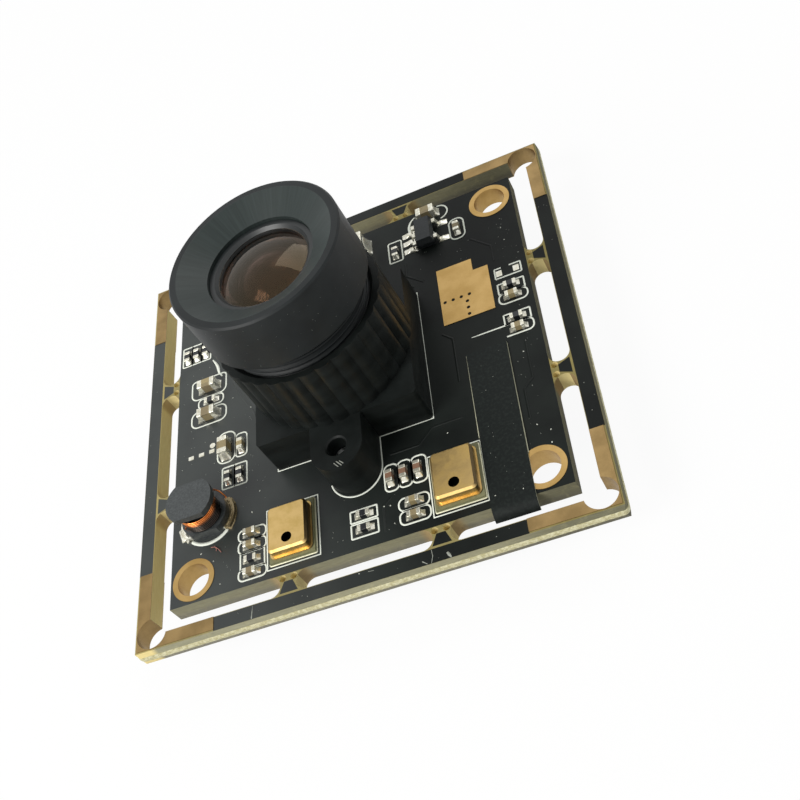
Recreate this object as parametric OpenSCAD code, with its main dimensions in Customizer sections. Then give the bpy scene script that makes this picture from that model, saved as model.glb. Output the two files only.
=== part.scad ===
// Wide-angle USB camera module: a square circuit board in its breakaway frame,
// a screw-focus lens in a moulded holder, two microphones and the parts soldered round them.
// Z = 0 is the underside of the board, +Z runs out of the lens, and the origin is the
// centre of the four mounting holes.

/* [Circuit board] */
// Side of the square inner board
board_w = 32; // [31:0.5:34]
// Thickness of the board
board_t = 1.6; // [1.2:0.1:2.0]
// Distance between the mounting holes, along each side
hole_pitch = 28; // [27:0.25:28.25]
// Finished diameter of the mounting holes
hole_d = 2.7; // [2.2:0.1:2.9]
// Outer diameter of the gold ring round a mounting hole
ring_d = 3.6; // [3.4:0.05:3.7]
// Thickness of the gold-plated copper
plate_t = 0.05; // [0.04:0.01:0.08]

/* [Breakaway frame] */
// Width of the scored rails of the frame
rail_w = 1.3; // [1.2:0.05:1.5]
// Width of the routed slot round the board
slot_w = 1.7; // [1.5:0.1:1.8]
// Distance of each tab from the middle of its side
tab_offset = 6; // [5:0.25:7]
// Width of a tab at its waist
tab_w = 1.3; // [1.2:0.1:1.6]
// Diameter of the perforations that weaken a tab
perforation_d = 0.56; // [0.4:0.04:0.6]
// Distance between the two perforations of a tab
perforation_gap = 0.92; // [0.8:0.04:1]
// Depth of the score along the outer edges, on each face
score_depth = 0.45; // [0.3:0.05:0.55]
// Width that the score takes off each face
score_run = 0.12; // [0.08:0.02:0.16]
// Diameter of the plated corner holes of the frame
corner_hole_d = 2.6; // [2:0.1:2.6]
// Distance of a corner hole inside the corner of the rails
corner_hole_inset = 0.2; // [0.1:0.05:0.3]
// Length of the gold land along each side of a corner
land_l = 6.8; // [5:0.2:8]

/* [Heat pad] */
// Length, along X, of the gold heat pad
pad_l = 4.35; // [4:0.05:4.6]
// Width, along Y, of the heat pad at its narrow end
pad_w = 4.84; // [4.6:0.02:5]
// Distance between the heat pad and the foot of the lens holder
pad_gap = 1.88; // [1.6:0.04:2.2]
// Distance between the vias of the heat pad
via_pitch = 0.7; // [0.6:0.02:0.74]
// Diameter of a via
via_d = 0.3; // [0.2:0.02:0.36]

/* [Lens holder] */
// Side of the square foot of the holder
holder_w = 13.2; // [13.2:0.1:14]
// Height of the foot and of its two screw ears
holder_h = 3.5; // [3.2:0.1:4]
// Distance from the lens axis to each screw
ear_reach = 9; // [8.75:0.25:10]
// Width of a screw ear
ear_w = 4.2; // [3.8:0.1:4.6]
// Diameter of the screw hole in an ear
pilot_d = 1.56; // [1.4:0.04:1.7]
// Diameter of the ribbed tower, over its ribs
tower_d = 13.84; // [13.6:0.04:14.2]
// Height of the tower above the foot
tower_h = 5.8; // [5:0.2:7]
// Number of ribs round the tower
rib_count = 32; // [28:2:36]
// Depth of the grooves between the ribs
rib_depth = 0.18; // [0.1:0.02:0.24]
// Thickness of the wall with the window, over the sensor
window_wall_t = 0.5; // [0.4:0.1:0.6]
// Height of the room over the sensor
sensor_room_h = 2.4; // [2.2:0.1:2.6]
// Side of the square room over the sensor
sensor_room_w = 10.4; // [10:0.2:11]
// Side of the square window over the sensor
window_w = 7; // [6:0.25:7.5]

/* [Lens] */
// Diameter of the threaded barrel, over its thread
barrel_d = 11.9; // [11.8:0.05:11.9]
// Pitch of the thread
thread_pitch = 0.5; // [0.5, 0.75]
// Depth of the thread
thread_depth = 0.27; // [0.2:0.01:0.3]
// Gap all round between the barrel and the holder
thread_clearance = 0.05; // [0.03:0.01:0.08]
// Diameter of the hood
hood_d = 13.7; // [13.2:0.1:14.4]
// Height of the hood
hood_h = 4.8; // [4.4:0.2:5.4]
// Gap between the holder and the hood, which focusing takes up
focus_gap = 1.7; // [1.6:0.1:2.4]
// Length of the threaded barrel below the hood
barrel_l = 6.4; // [5.8:0.1:6.4]
// Inner diameter of the flat rim of the hood
rim_d = 12.4; // [12:0.1:12.6]
// Diameter of the small end of the cone inside the hood
cone_d = 8.52; // [8.4:0.04:8.8]
// Depth of the cone inside the hood
cone_depth = 1.1; // [0.9:0.1:1.4]
// Bevel along the outer edges of the hood
hood_bevel = 0.14; // [0.1:0.02:0.2]
// Diameter of the front lens
front_lens_d = 7.9; // [7.7:0.05:7.95]
// Diameter of the front lens that shows inside its ring
front_view_d = 7.2; // [6.8:0.1:7.3]
// Radius of the domed face of the front lens
front_lens_curve = 7.5; // [6.5:0.25:9]
// Diameter of the middle lens
middle_lens_d = 5.8; // [5.4:0.1:6]
// Diameter of the aperture
aperture_d = 2.4; // [1.6:0.2:3]
// Diameter of the rear lens
rear_lens_d = 8.2; // [7.8:0.1:8.4]
// Gap all round between a piece of glass and the barrel
glass_clearance = 0.03; // [0.02:0.01:0.05]

/* [Image sensor] */
// Length, along X, of the sensor package
sensor_l = 7.6; // [7:0.2:8.4]
// Width, along Y, of the sensor package
sensor_w = 6.4; // [6:0.2:7]
// Height of the sensor package without its glass
sensor_h = 0.9; // [0.7:0.1:1.1]
// Thickness of the glass on the sensor
sensor_glass_t = 0.4; // [0.3:0.1:0.5]

/* [Microphones] */
// Width, along X, of a microphone
mic_w = 3.76; // [3.6:0.02:3.8]
// Length, along Y, of a microphone
mic_l = 4.72; // [4.6:0.02:4.8]
// Height of a microphone
mic_h = 1.15; // [1:0.05:1.3]
// Diameter of the sound port in a can
port_d = 0.82; // [0.6:0.02:1]

/* [Inductor] */
// Diameter of the flanges of the inductor
inductor_d = 3.96; // [3.8:0.02:4.2]
// Width of the inductor across its flats
inductor_flat_w = 3.2; // [3:0.05:3.6]
// Height of the inductor
inductor_h = 3.2; // [3:0.1:3.4]
// Diameter of the copper winding
winding_d = 3.2; // [2.8:0.05:3.4]
// Thickness of the upper flange
flange_t = 0.5; // [0.4:0.05:0.6]
// Width of the inductor over its soldered feet
feet_w = 4.74; // [4.5:0.02:4.9]

/* [Chip parts] */
// Length of a small chip part
small_l = 1.0; // [0.9:0.05:1.05]
// Width of a small chip part
small_w = 0.5; // [0.45:0.05:0.55]
// Height of a small capacitor
small_h = 0.5; // [0.45:0.05:0.55]
// Height of a small resistor
resistor_h = 0.35; // [0.3:0.05:0.4]
// Length of a medium capacitor
medium_l = 1.6; // [1.5:0.05:1.65]
// Width and height of a medium capacitor
medium_w = 0.85; // [0.8:0.05:0.9]
// Length of the large capacitor
large_l = 3.2; // [3:0.1:3.2]
// Width and height of the large capacitor
large_w = 1.6; // [1.5:0.05:1.65]

/* [Label] */
// Width of the blank strip
label_w = 3.3; // [3:0.1:3.4]
// Thickness of the blank strip
label_t = 0.12; // [0.08:0.02:0.16]
// Angle by which its free end bends down
label_bend = 65; // [30:5:75]

/* [Cable socket] */
// Number of pins in the cable socket
socket_pins_n = 5; // [4:1:6]
// Distance between the pins
socket_pitch = 1.25; // [1.25, 1.5]
// Height of the cable socket
socket_h = 3.3; // [3:0.1:3.4]
// Depth of the cable socket
socket_depth = 4.2; // [4:0.1:4.4]

/* [Hidden] */
$fn = 48;
eps = 0.01;

// Levels along the lens axis
top_z = board_t;
foot_z = top_z + holder_h;
tower_z = foot_z + tower_h;
hood_z = tower_z + focus_gap;
rim_z = hood_z + hood_h;
barrel_end_z = hood_z - barrel_l;
window_z = top_z + sensor_room_h;
bore_z = window_z + window_wall_t;
cone_z = rim_z - cone_depth;

// Circuit board
half_board = board_w / 2;
rail_in = half_board + slot_w;
half_frame = rail_in + rail_w;
frame_w = 2 * half_frame;
land_start = half_frame - land_l;
slot_mid = half_board + slot_w / 2;
drill_r = hole_d / 2 + plate_t;
corner_r = corner_hole_d / 2;
corner_hole = rail_in - corner_hole_inset;
frame_corner_r = 0.4;
copper_margin = 0.12;
pad_y = 1.96;
pad_step_l = pad_l - 1.27;
pad_step_w = pad_w + 1.34;
screw_hole_d = 1.9;

// Lens and holder
bore_r = barrel_d / 2 + thread_clearance;
front_ring_t = 0.25;
front_ring_drop = 0.3;
front_lens_t = 1.3;
seat_z = cone_z - front_ring_drop - front_ring_t - front_lens_t;
middle_t = 1.4;
middle_z = seat_z - 0.4 - middle_t;
middle_rim_t = 0.7;
aperture_t = 0.5;
aperture_z = middle_z + dome_drop(middle_t - middle_rim_t, aperture_d, middle_lens_d) - aperture_t;
shelf_w = 0.5;
shelf_z = aperture_z - 0.5;
rear_t = 1.6;
rear_rim_t = 0.9;
shelf_d = middle_lens_d + 2 * glass_clearance - 2 * shelf_w;
rear_z = shelf_z - rear_t + dome_drop(rear_t - rear_rim_t, shelf_d, rear_lens_d);
rear_ring_t = 0.7;
rear_ring_d = rear_lens_d - 1.6;
rear_ring_z = rear_z - rear_ring_t + dome_drop(rear_t - rear_rim_t, rear_ring_d, rear_lens_d);
screw_d = 1.5;
screw_head_d = 2.9;
screw_head_h = 1.0;
screw_l = 4.2;
filter_w = window_w + 1.6;
filter_t = 0.3;

// Parts on the top of the board, as [x, y, angle]
mic_spots = [[-5.48, -12.63], [7.8, -12.63]];
inductor_at = [-12.7, -9.03];
empty_pads = [14.35, 5.35];
test_pads = [-14.56, -2.3];
regulator_at = [8.1, 12.65];
small_capacitors = [
    [-9.0, -11.5, 0], [-9.0, -12.62, 0], [-9.0, -14.98, 0], [4.3, -13.4, 0], [4.3, -14.6, 0],
    [2.68, -10.75, 90], [3.78, -10.75, 90], [4.92, -10.75, 90], [-9.85, -2.8, 90],
    [10.85, 12.2, 90], [14.35, 2.6, 0], [14.35, -0.85, 0]
];
resistors = [
    [-9.0, -13.8, 0], [0.33, -13.12, 0], [0.33, -14.35, 0], [-11.05, -5.55, 90],
    [-9.98, -5.55, 90], [-12.8, 3.18, 0], [-15.2, 9.02, 90], [-14.3, 9.02, 90],
    [-13.4, 9.02, 90], [5.16, 12.08, 90], [14.35, 3.8, 0], [14.35, 0.3, 0]
];
medium_capacitors = [[-12.95, 4.68, 0], [-12.9, 1.56, 0], [-11.27, -2.62, 90], [8.45, 15.1, 0]];
large_capacitor = [1.1, 13.95, 0];
end_share = 0.26;

// Parts under the board, as [x, y, angle]
back_capacitors = [
    [-6.2, -2.5, 90], [-6.2, 2.5, 90], [6.4, 3.4, 90], [2.4, -6.3, 0], [-2.4, 6.3, 0],
    [11, 8.5, 0], [-11, 7.2, 0], [-11, -1.6, 0]
];
back_resistors = [[6.4, 0.4, 90], [-4.8, -6.6, 0], [4.6, 6.6, 0], [7.6, -8.6, 90], [-8.4, 9.6, 90]];
controller_w = 7;
controller_h = 1.4;
controller_pins = 12;
controller_pitch = 0.5;
flash_at = [11, -3.2];
flash_l = 4.9;
flash_w = 3.9;
flash_h = 1.5;
crystal_at = [-10.6, 2.6];
crystal_size = [3.2, 2.5, 0.7];
label_at = [9.9, -1.85];
label_bend_r = 1.1;
socket_y = half_board - 0.4 - socket_depth;
socket_w = (socket_pins_n - 1) * socket_pitch + 3;

// ---- shared shapes -------------------------------------------------------

// How far a domed face, bulging by both_bulges / 2, has fallen at the diameter at_d
function dome_drop(both_bulges, at_d, d) = both_bulges / 2 * pow(at_d / d, 2);

// Rectangle with round corners, centred
module rounded_rect(l, w, r) {
    square([l - 2 * r, w], center = true);
    square([l, w - 2 * r], center = true);
    for (x = [-1, 1], y = [-1, 1])
        translate([x * (l / 2 - r), y * (w / 2 - r)]) circle(r = r);
}

// Copies at the four mounting holes
module at_holes(pitch) {
    for (x = [-1, 1], y = [-1, 1]) translate([x * pitch / 2, y * pitch / 2, 0]) children();
}

// Flat ring
module ring(outer_d, inner_d, h) {
    difference() {
        cylinder(d = outer_d, h = h);
        translate([0, 0, -eps]) cylinder(d = inner_d, h = h + 2 * eps);
    }
}

// Places a part on the top of the board, or turned over on its underside
module on_top(spot) {
    translate([spot[0], spot[1], top_z]) rotate(is_undef(spot[2]) ? 0 : spot[2]) children();
}
module under(spot) {
    translate([spot[0], spot[1], 0]) mirror([0, 0, 1]) rotate(is_undef(spot[2]) ? 0 : spot[2])
        children();
}

// Middle of a chip part, between its two metal ends
module chip_body(l, w, h) {
    translate([-l * (0.5 - end_share), -w / 2, 0]) cube([l * (1 - 2 * end_share), w, h]);
}
// The two metal ends of a chip part
module chip_ends(l, w, h) {
    for (side = [0, 1]) mirror([side, 0, 0])
        translate([l * (0.5 - end_share), -w / 2, 0]) cube([l * end_share, w, h]);
}

// One bent lead: flat at the height it leaves the body, then down to the board, along +X
module gull_lead(reach, rise, t, w) {
    translate([0, w / 2, 0]) rotate([90, 0, 0]) linear_extrude(w)
        polygon([
            [0, rise - t / 2], [reach * 0.3, rise - t / 2], [reach * 0.5, 0], [reach, 0],
            [reach, t], [reach * 0.62, t], [reach * 0.42, rise + t / 2], [0, rise + t / 2]
        ]);
}

// ---- circuit board -------------------------------------------------------

// One routed run of the slot along the +Y side, from x = a to x = b, with round ends
module routed_run(a, b) {
    r = slot_w / 2;
    translate([a + r, half_board]) square([b - a - slot_w, slot_w]);
    for (x = [a + r, b - r]) translate([x, slot_mid]) circle(r = r);
}

// The slot round the board, left open between the tabs
module slot_outline() {
    inner_end = tab_offset - tab_w / 2;
    outer_start = tab_offset + tab_w / 2;
    for (a = [0:90:270]) rotate(a) {
        routed_run(-inner_end, inner_end);
        routed_run(outer_start, rail_in);
        routed_run(-rail_in, -outer_start);
    }
}

// Score along the +X edge of the frame, on the upper face of a plate at height z
module score_cut() {
    translate([half_frame, half_frame + 1, 0]) rotate([90, 0, 0])
        linear_extrude(frame_w + 2)
            polygon([[eps, -score_depth], [0, -score_depth], [-score_run, 0], [-score_run, eps],
                [eps, eps]]);
}

module circuit_board() color("#30363a") difference() {
    linear_extrude(board_t) difference() {
        rounded_rect(frame_w, frame_w, frame_corner_r);
        slot_outline();
        for (a = [0:90:270], tab = [-1, 1], side = [-1, 1]) rotate(a)
            translate([tab * tab_offset + side * perforation_gap / 2,
                half_board + perforation_d / 2 + 0.06])
                circle(d = perforation_d);
        at_holes(hole_pitch) circle(r = drill_r);
        at_holes(2 * corner_hole) circle(r = corner_r);
        for (y = [-1, 1]) translate([0, y * ear_reach]) circle(d = screw_hole_d);
    }
    for (a = [0:90:270]) rotate(a) {
        translate([0, 0, board_t]) score_cut();
        mirror([0, 0, 1]) score_cut();
    }
}

// Gold ring on both faces and down the wall of each mounting hole
module hole_plating() color("#c39a5b") at_holes(hole_pitch) {
    for (z = [-plate_t, top_z]) translate([0, 0, z]) ring(ring_d, hole_d, plate_t);
    ring(2 * drill_r, hole_d, board_t);
}

// Outline of the gold land in the +X +Y corner of the frame
module corner_land() {
    edge = half_frame - score_run - copper_margin;
    difference() {
        translate([land_start, land_start]) square(edge - land_start);
        translate([-half_frame, -half_frame]) square(half_frame + rail_in);
        translate([corner_hole, corner_hole]) circle(r = corner_r);
    }
}

// Gold lands of the frame's corners, with the plated wall of each corner hole
module corner_plating() color("#c39a5b") for (a = [0:90:270]) rotate(a) {
    for (z = [-plate_t, top_z]) translate([0, 0, z]) linear_extrude(plate_t) corner_land();
    translate([0, 0, -plate_t]) linear_extrude(board_t + 2 * plate_t) difference() {
        translate([corner_hole, corner_hole]) circle(r = corner_r);
        translate([corner_hole, corner_hole]) circle(r = corner_r - plate_t);
        translate([-half_frame, -half_frame]) square(half_frame + rail_in);
    }
}

// Bare gold area that spreads heat, with its plated vias
module heat_pad() color("#c6a063") translate([holder_w / 2 + pad_gap, pad_y, top_z])
    linear_extrude(plate_t) difference() {
        union() {
            square([pad_l, pad_w]);
            square([pad_step_l, pad_step_w]);
        }
        for (i = [0:3]) translate([(i + 0.53) * via_pitch, pad_w / 2]) circle(d = via_d);
        for (i = [0:2]) translate([3.17 * via_pitch, pad_w / 2 - (i + 0.95) * via_pitch])
            circle(d = via_d);
    }

// Tinned pads without a part, and the pads that show round the regulator
module tinned_pads() color("#d6d4c4") {
    for (side = [-1, 1]) translate([empty_pads[0] + side * 0.72, empty_pads[1], top_z])
        linear_extrude(plate_t) square([0.5, 0.6], center = true);
    for (i = [0:2]) translate([test_pads[0] + i * 0.97, test_pads[1], top_z])
        linear_extrude(plate_t) square([0.48, 0.34], center = true);
    translate([test_pads[0] + 2, test_pads[1] + 0.56, top_z]) cylinder(d = 0.5, h = plate_t);
}

// Blank strip that lies over the board and one edge of a ring, with its free
// end bent down into the slot
module blank_label() color("#26292b") {
    length = label_at[1] + half_board - 0.1;
    translate([label_at[0], label_at[1] - length, top_z + plate_t]) {
        cube([label_w, length, label_t]);
        translate([0, 0, -label_bend_r]) rotate([90, 0, 90])
            rotate([0, 0, 90]) rotate_extrude(angle = label_bend)
                translate([label_bend_r, 0]) square([label_t, label_w]);
    }
}

// ---- lens holder ---------------------------------------------------------

// Section of the ribbed tower: round ribs that meet in sharp grooves
module ribbed_section() {
    tip_r = tower_d / 2;
    groove_r = tip_r - rib_depth;
    half_step = 180 / rib_count;
    rib_at = (pow(tip_r, 2) - pow(groove_r, 2)) / (2 * (tip_r - groove_r * cos(half_step)));
    circle(r = groove_r * cos(half_step));
    for (i = [0:rib_count - 1]) rotate(i * 360 / rib_count + half_step)
        translate([rib_at, 0]) circle(r = tip_r - rib_at);
}

module lens_holder() color("#2a2e30") difference() {
    union() {
        translate([0, 0, top_z]) linear_extrude(holder_h) {
            rounded_rect(holder_w, holder_w, 0.3);
            square([ear_w, 2 * ear_reach], center = true);
            for (y = [-1, 1]) translate([0, y * ear_reach]) circle(d = ear_w);
        }
        translate([0, 0, foot_z]) linear_extrude(tower_h) ribbed_section();
    }
    translate([0, 0, bore_z]) cylinder(r = bore_r, h = tower_z);
    translate([0, 0, tower_z - 0.35]) cylinder(r1 = bore_r, r2 = bore_r + 0.36, h = 0.36);
    translate([0, 0, top_z - eps]) linear_extrude(sensor_room_h + eps)
        rounded_rect(sensor_room_w, sensor_room_w, 0.5);
    translate([0, 0, window_z - eps]) linear_extrude(window_wall_t + 2 * eps)
        rounded_rect(window_w, window_w, 0.5);
    for (y = [-1, 1]) translate([0, y * ear_reach, top_z - eps])
        cylinder(d = pilot_d, h = holder_h + 2 * eps);
    for (y = [-1, 1]) translate([0, y * ear_reach, foot_z - 0.12])
        cylinder(d1 = pilot_d, d2 = pilot_d + 0.26, h = 0.13);
}

// Pan-head screws that come through the board into the ears
module holder_screws() color("#8d8f90") for (y = [-1, 1])
    translate([0, y * ear_reach, 0]) difference() {
        union() {
            translate([0, 0, -screw_head_h]) cylinder(d = screw_head_d, h = screw_head_h);
            cylinder(d = screw_d, h = screw_l - 0.5);
            translate([0, 0, screw_l - 0.5]) cylinder(d1 = screw_d, d2 = 0.5, h = 0.5);
        }
        for (a = [0, 90]) rotate(a) translate([-0.95, -0.18, -screw_head_h - eps])
            cube([1.9, 0.36, 0.6]);
    }

// ---- lens ----------------------------------------------------------------

// Turned barrel with its hood, threaded shank and the stepped seats for the glass
module lens_barrel() color("#25282a") {
    outer_r = hood_d / 2;
    shank_r = barrel_d / 2;
    ring_r = cone_d / 2;
    front_r = front_lens_d / 2 + glass_clearance;
    middle_r = middle_lens_d / 2 + glass_clearance;
    rear_r = rear_lens_d / 2 + glass_clearance;
    b = hood_bevel;
    turns = floor((barrel_l - 0.35) / thread_pitch);
    groove_z = hood_z - 0.08 - turns * thread_pitch;
    rotate_extrude() polygon(concat(
        [[rear_r, barrel_end_z], [shank_r - thread_depth, barrel_end_z],
            [shank_r - thread_depth, groove_z]],
        [for (i = [0:turns - 1], k = [0:3]) [
            shank_r - (k == 0 || k == 3 ? thread_depth : 0),
            groove_z + (i + [0.06, 0.46, 0.54, 0.94][k]) * thread_pitch
        ]],
        [[shank_r - thread_depth, hood_z], [outer_r - b, hood_z], [outer_r, hood_z + b],
            [outer_r, rim_z - b], [outer_r - b, rim_z], [rim_d / 2, rim_z], [ring_r, cone_z],
            [ring_r, seat_z + front_lens_t], [front_r, seat_z + front_lens_t],
            [front_r, seat_z], [front_r - 0.45, seat_z], [middle_r, seat_z - 0.4],
            [middle_r, aperture_z], [middle_r - shelf_w, aperture_z],
            [middle_r - shelf_w, shelf_z], [rear_r, shelf_z]]
    ));
}

// Ring that holds the front lens down in its seat
module front_ring() color("#1f2224") translate([0, 0, seat_z + front_lens_t]) difference() {
    cylinder(d = cone_d - 2 * glass_clearance, h = front_ring_t);
    translate([0, 0, -eps]) cylinder(d1 = front_view_d, d2 = front_view_d + 0.5,
        h = front_ring_t + 2 * eps);
}

// Domed front lens, hollow behind
module front_lens() color("#3a2a2c", 0.6) {
    rim_top = seat_z + front_lens_t;
    drop = sqrt(pow(front_lens_curve, 2) - pow(front_view_d / 2 - 0.05, 2));
    back_curve = 4;
    difference() {
        union() {
            translate([0, 0, seat_z]) cylinder(d = front_lens_d, h = front_lens_t);
            intersection() {
                translate([0, 0, rim_top - drop]) sphere(r = front_lens_curve, $fn = 120);
                translate([0, 0, rim_top - eps]) cylinder(d = front_view_d - 0.1, h = 3);
            }
        }
        translate([0, 0, seat_z - back_curve + 1.1]) sphere(r = back_curve);
    }
}

// A piece of glass bulging on both faces between z = 0 and z = t
module biconvex(d, t, rim_t) {
    bulge = (t - rim_t) / 2;
    curve = (pow(d / 2, 2) + pow(bulge, 2)) / (2 * bulge);
    intersection() {
        cylinder(d = d, h = t);
        translate([0, 0, t - curve]) sphere(r = curve, $fn = 180);
        translate([0, 0, curve]) sphere(r = curve, $fn = 180);
    }
}

module middle_lens() color("#4a4652", 0.6) translate([0, 0, middle_z])
    biconvex(middle_lens_d, middle_t, middle_rim_t);

// Blackened ring between the lenses, whose bore is the aperture
module aperture_ring() color("#1b1d1e") translate([0, 0, aperture_z])
    ring(middle_lens_d, aperture_d, aperture_t);

module rear_lens() color("#4a4652", 0.6) translate([0, 0, rear_z])
    biconvex(rear_lens_d, rear_t, rear_rim_t);

// Ring that closes the back of the barrel
module rear_ring() color("#25282a") translate([0, 0, rear_ring_z])
    ring(rear_lens_d, rear_ring_d, rear_ring_t);

// Square filter glued under the window of the holder
module ir_cut_filter() color("#9a4c5c", 0.6)
    translate([-filter_w / 2, -filter_w / 2, window_z - filter_t])
        cube([filter_w, filter_w, filter_t]);

// Sensor package, with the recess that its glass closes
module image_sensor() color("#3b3f38") translate([0, 0, top_z]) difference() {
    translate([-sensor_l / 2, -sensor_w / 2, 0]) cube([sensor_l, sensor_w, sensor_h]);
    translate([-sensor_l / 2 + 0.7, -sensor_w / 2 + 0.7, sensor_h - 0.3])
        cube([sensor_l - 1.4, sensor_w - 1.4, 1]);
}
module sensor_glass() color("#7a8b94", 0.5)
    translate([-sensor_l / 2 + 0.2, -sensor_w / 2 + 0.2, top_z + sensor_h])
        cube([sensor_l - 0.4, sensor_w - 0.4, sensor_glass_t]);

// ---- microphones ---------------------------------------------------------

mic_base_t = 0.26;
mic_flange_t = 0.1;
can_margin = 0.26;

module microphone_bases() color("#77795a") for (spot = mic_spots) on_top(spot)
    linear_extrude(mic_base_t) square([mic_w, mic_l], center = true);

// Drawn metal can: a flange, upright sides and a bevelled top with the sound port
module microphone_cans() color("#c9a25a") for (spot = mic_spots) on_top(spot)
    translate([0, 0, mic_base_t]) {
        l = mic_l - 2 * can_margin - 0.24;
        w = mic_w - 2 * can_margin;
        can_h = mic_h - mic_base_t;
        bevel = 0.16;
        difference() {
            union() {
                linear_extrude(mic_flange_t) rounded_rect(w + can_margin, l + can_margin, 0.4);
                linear_extrude(can_h - bevel) rounded_rect(w, l, 0.35);
                hull() {
                    translate([0, 0, can_h - bevel - eps]) linear_extrude(eps)
                        rounded_rect(w, l, 0.35, $fn = 32);
                    translate([0, 0, can_h - eps]) linear_extrude(eps)
                        rounded_rect(w - 2 * bevel, l - 2 * bevel, 0.25, $fn = 32);
                }
            }
            translate([0, -1.04, can_h - 0.5]) cylinder(d = port_d, h = 1);
        }
    }

// ---- inductor ------------------------------------------------------------

inductor_base_t = 0.9;

// Flange of the drum core: a disc with two flats
module drum_flange(d, t) {
    linear_extrude(t) intersection() {
        circle(d = d);
        square([d + 1, inductor_flat_w], center = true);
    }
}

module inductor_core() color("#383b3c") on_top(inductor_at) {
    drum_flange(inductor_d - 0.06, inductor_base_t);
    cylinder(d = 1.8, h = inductor_h - eps);
    translate([0, 0, inductor_h - flange_t]) drum_flange(inductor_d, flange_t);
}

// Copper wire wound on the core: turn beside turn
module inductor_winding() color("#c2703c") on_top(inductor_at)
    translate([0, 0, inductor_base_t]) {
        wire_d = 0.16;
        room = inductor_h - flange_t - inductor_base_t;
        turns = floor(room / wire_d);
        step = room / turns;
        difference() {
            union() {
                cylinder(d = winding_d - wire_d, h = room);
                for (i = [0:turns - 1]) translate([0, 0, (i + 0.5) * step])
                    rotate_extrude() translate([winding_d / 2 - wire_d / 2, 0])
                        circle(d = wire_d, $fn = 16);
            }
            translate([0, 0, -1]) cylinder(d = 1.8, h = room + 2);
        }
    }

// Soldered feet at the two sides of the inductor
module inductor_terminals() color("#c9c5b0") on_top(inductor_at) for (side = [0, 1])
    mirror([side, 0, 0]) linear_extrude(0.32) difference() {
        intersection() {
            circle(d = feet_w);
            translate([0.5, -1.35]) square([feet_w, 2.7]);
        }
        circle(d = inductor_d - 0.06);
    }

// ---- chip parts ----------------------------------------------------------

module capacitor_bodies() color("#9c8a64") {
    for (spot = small_capacitors) on_top(spot) chip_body(small_l, small_w, small_h);
    for (spot = medium_capacitors) on_top(spot) chip_body(medium_l, medium_w, medium_w);
    on_top(large_capacitor) chip_body(large_l, large_w, large_w);
    for (spot = back_capacitors) under(spot) chip_body(small_l, small_w, small_h);
}
module capacitor_terminals() color("#d8d5c6") {
    for (spot = small_capacitors) on_top(spot) chip_ends(small_l, small_w, small_h);
    for (spot = medium_capacitors) on_top(spot) chip_ends(medium_l, medium_w, medium_w);
    on_top(large_capacitor) chip_ends(large_l, large_w, large_w);
    for (spot = back_capacitors) under(spot) chip_ends(small_l, small_w, small_h);
}
module resistor_bodies() color("#1f2224") {
    for (spot = resistors) on_top(spot) chip_body(small_l, small_w, resistor_h);
    for (spot = back_resistors) under(spot) chip_body(small_l, small_w, resistor_h);
}
module resistor_terminals() color("#d8d5c6") {
    for (spot = resistors) on_top(spot) chip_ends(small_l, small_w, resistor_h);
    for (spot = back_resistors) under(spot) chip_ends(small_l, small_w, resistor_h);
}

// ---- regulator -----------------------------------------------------------

regulator_l = 2.9;
regulator_w = 1.6;
regulator_h = 1.1;
regulator_pitch = 0.95;

module regulator_body() color("#2b2e30") on_top(regulator_at) translate([0, 0, 0.08])
    hull() {
        for (band = [[0, 0.12], [0.45, 0], [regulator_h - 0.08, 0.16]])
            translate([0, 0, band[0]]) linear_extrude(eps)
                square([regulator_w - 2 * band[1], regulator_l - 2 * band[1]], center = true);
    }
module regulator_leads() color("#d8d5c6") on_top(regulator_at) {
    for (i = [-1:1]) mirror([1, 0, 0]) translate([regulator_w / 2, i * regulator_pitch, 0])
        gull_lead(0.72, 0.62, 0.14, 0.4);
    for (i = [-1, 1]) translate([regulator_w / 2, i * regulator_pitch, 0])
        gull_lead(0.72, 0.62, 0.14, 0.4);
}

// ---- underside -----------------------------------------------------------

module usb_controller() color("#2b2e30") under([0, 0]) difference() {
    translate([0, 0, 0.1]) linear_extrude(controller_h)
        rounded_rect(controller_w, controller_w, 0.15);
    translate([-controller_w / 2 + 0.9, -controller_w / 2 + 0.9, controller_h + 0.05])
        cylinder(d = 0.7, h = 1);
}
module controller_leads() color("#c9c9c4") under([0, 0]) for (a = [0:90:270]) rotate(a)
    for (i = [0:controller_pins - 1])
        translate([controller_w / 2, (i - (controller_pins - 1) / 2) * controller_pitch, 0])
            gull_lead(1, 0.7, 0.13, 0.22);

module flash_memory() color("#2b2e30") under(flash_at)
    translate([0, 0, 0.1]) difference() {
        linear_extrude(flash_h) rounded_rect(flash_w, flash_l, 0.12);
        translate([-flash_w / 2 + 0.7, flash_l / 2 - 0.7, flash_h - 0.05])
            cylinder(d = 0.6, h = 1);
    }
module flash_leads() color("#c9c9c4") under(flash_at) for (side = [0, 1], i = [0:3])
    mirror([side, 0, 0]) translate([flash_w / 2, (i - 1.5) * 1.27, 0])
        gull_lead(1.05, 0.75, 0.2, 0.42);

module crystal_base() color("#8a7d6a") under(crystal_at)
    translate([-crystal_size[0] / 2, -crystal_size[1] / 2, 0])
        cube([crystal_size[0], crystal_size[1], crystal_size[2] - 0.25]);
module crystal_lid() color("#b8b9b6") under(crystal_at)
    translate([0, 0, crystal_size[2] - 0.25]) linear_extrude(0.25)
        rounded_rect(crystal_size[0] - 0.4, crystal_size[1] - 0.4, 0.3);

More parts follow.
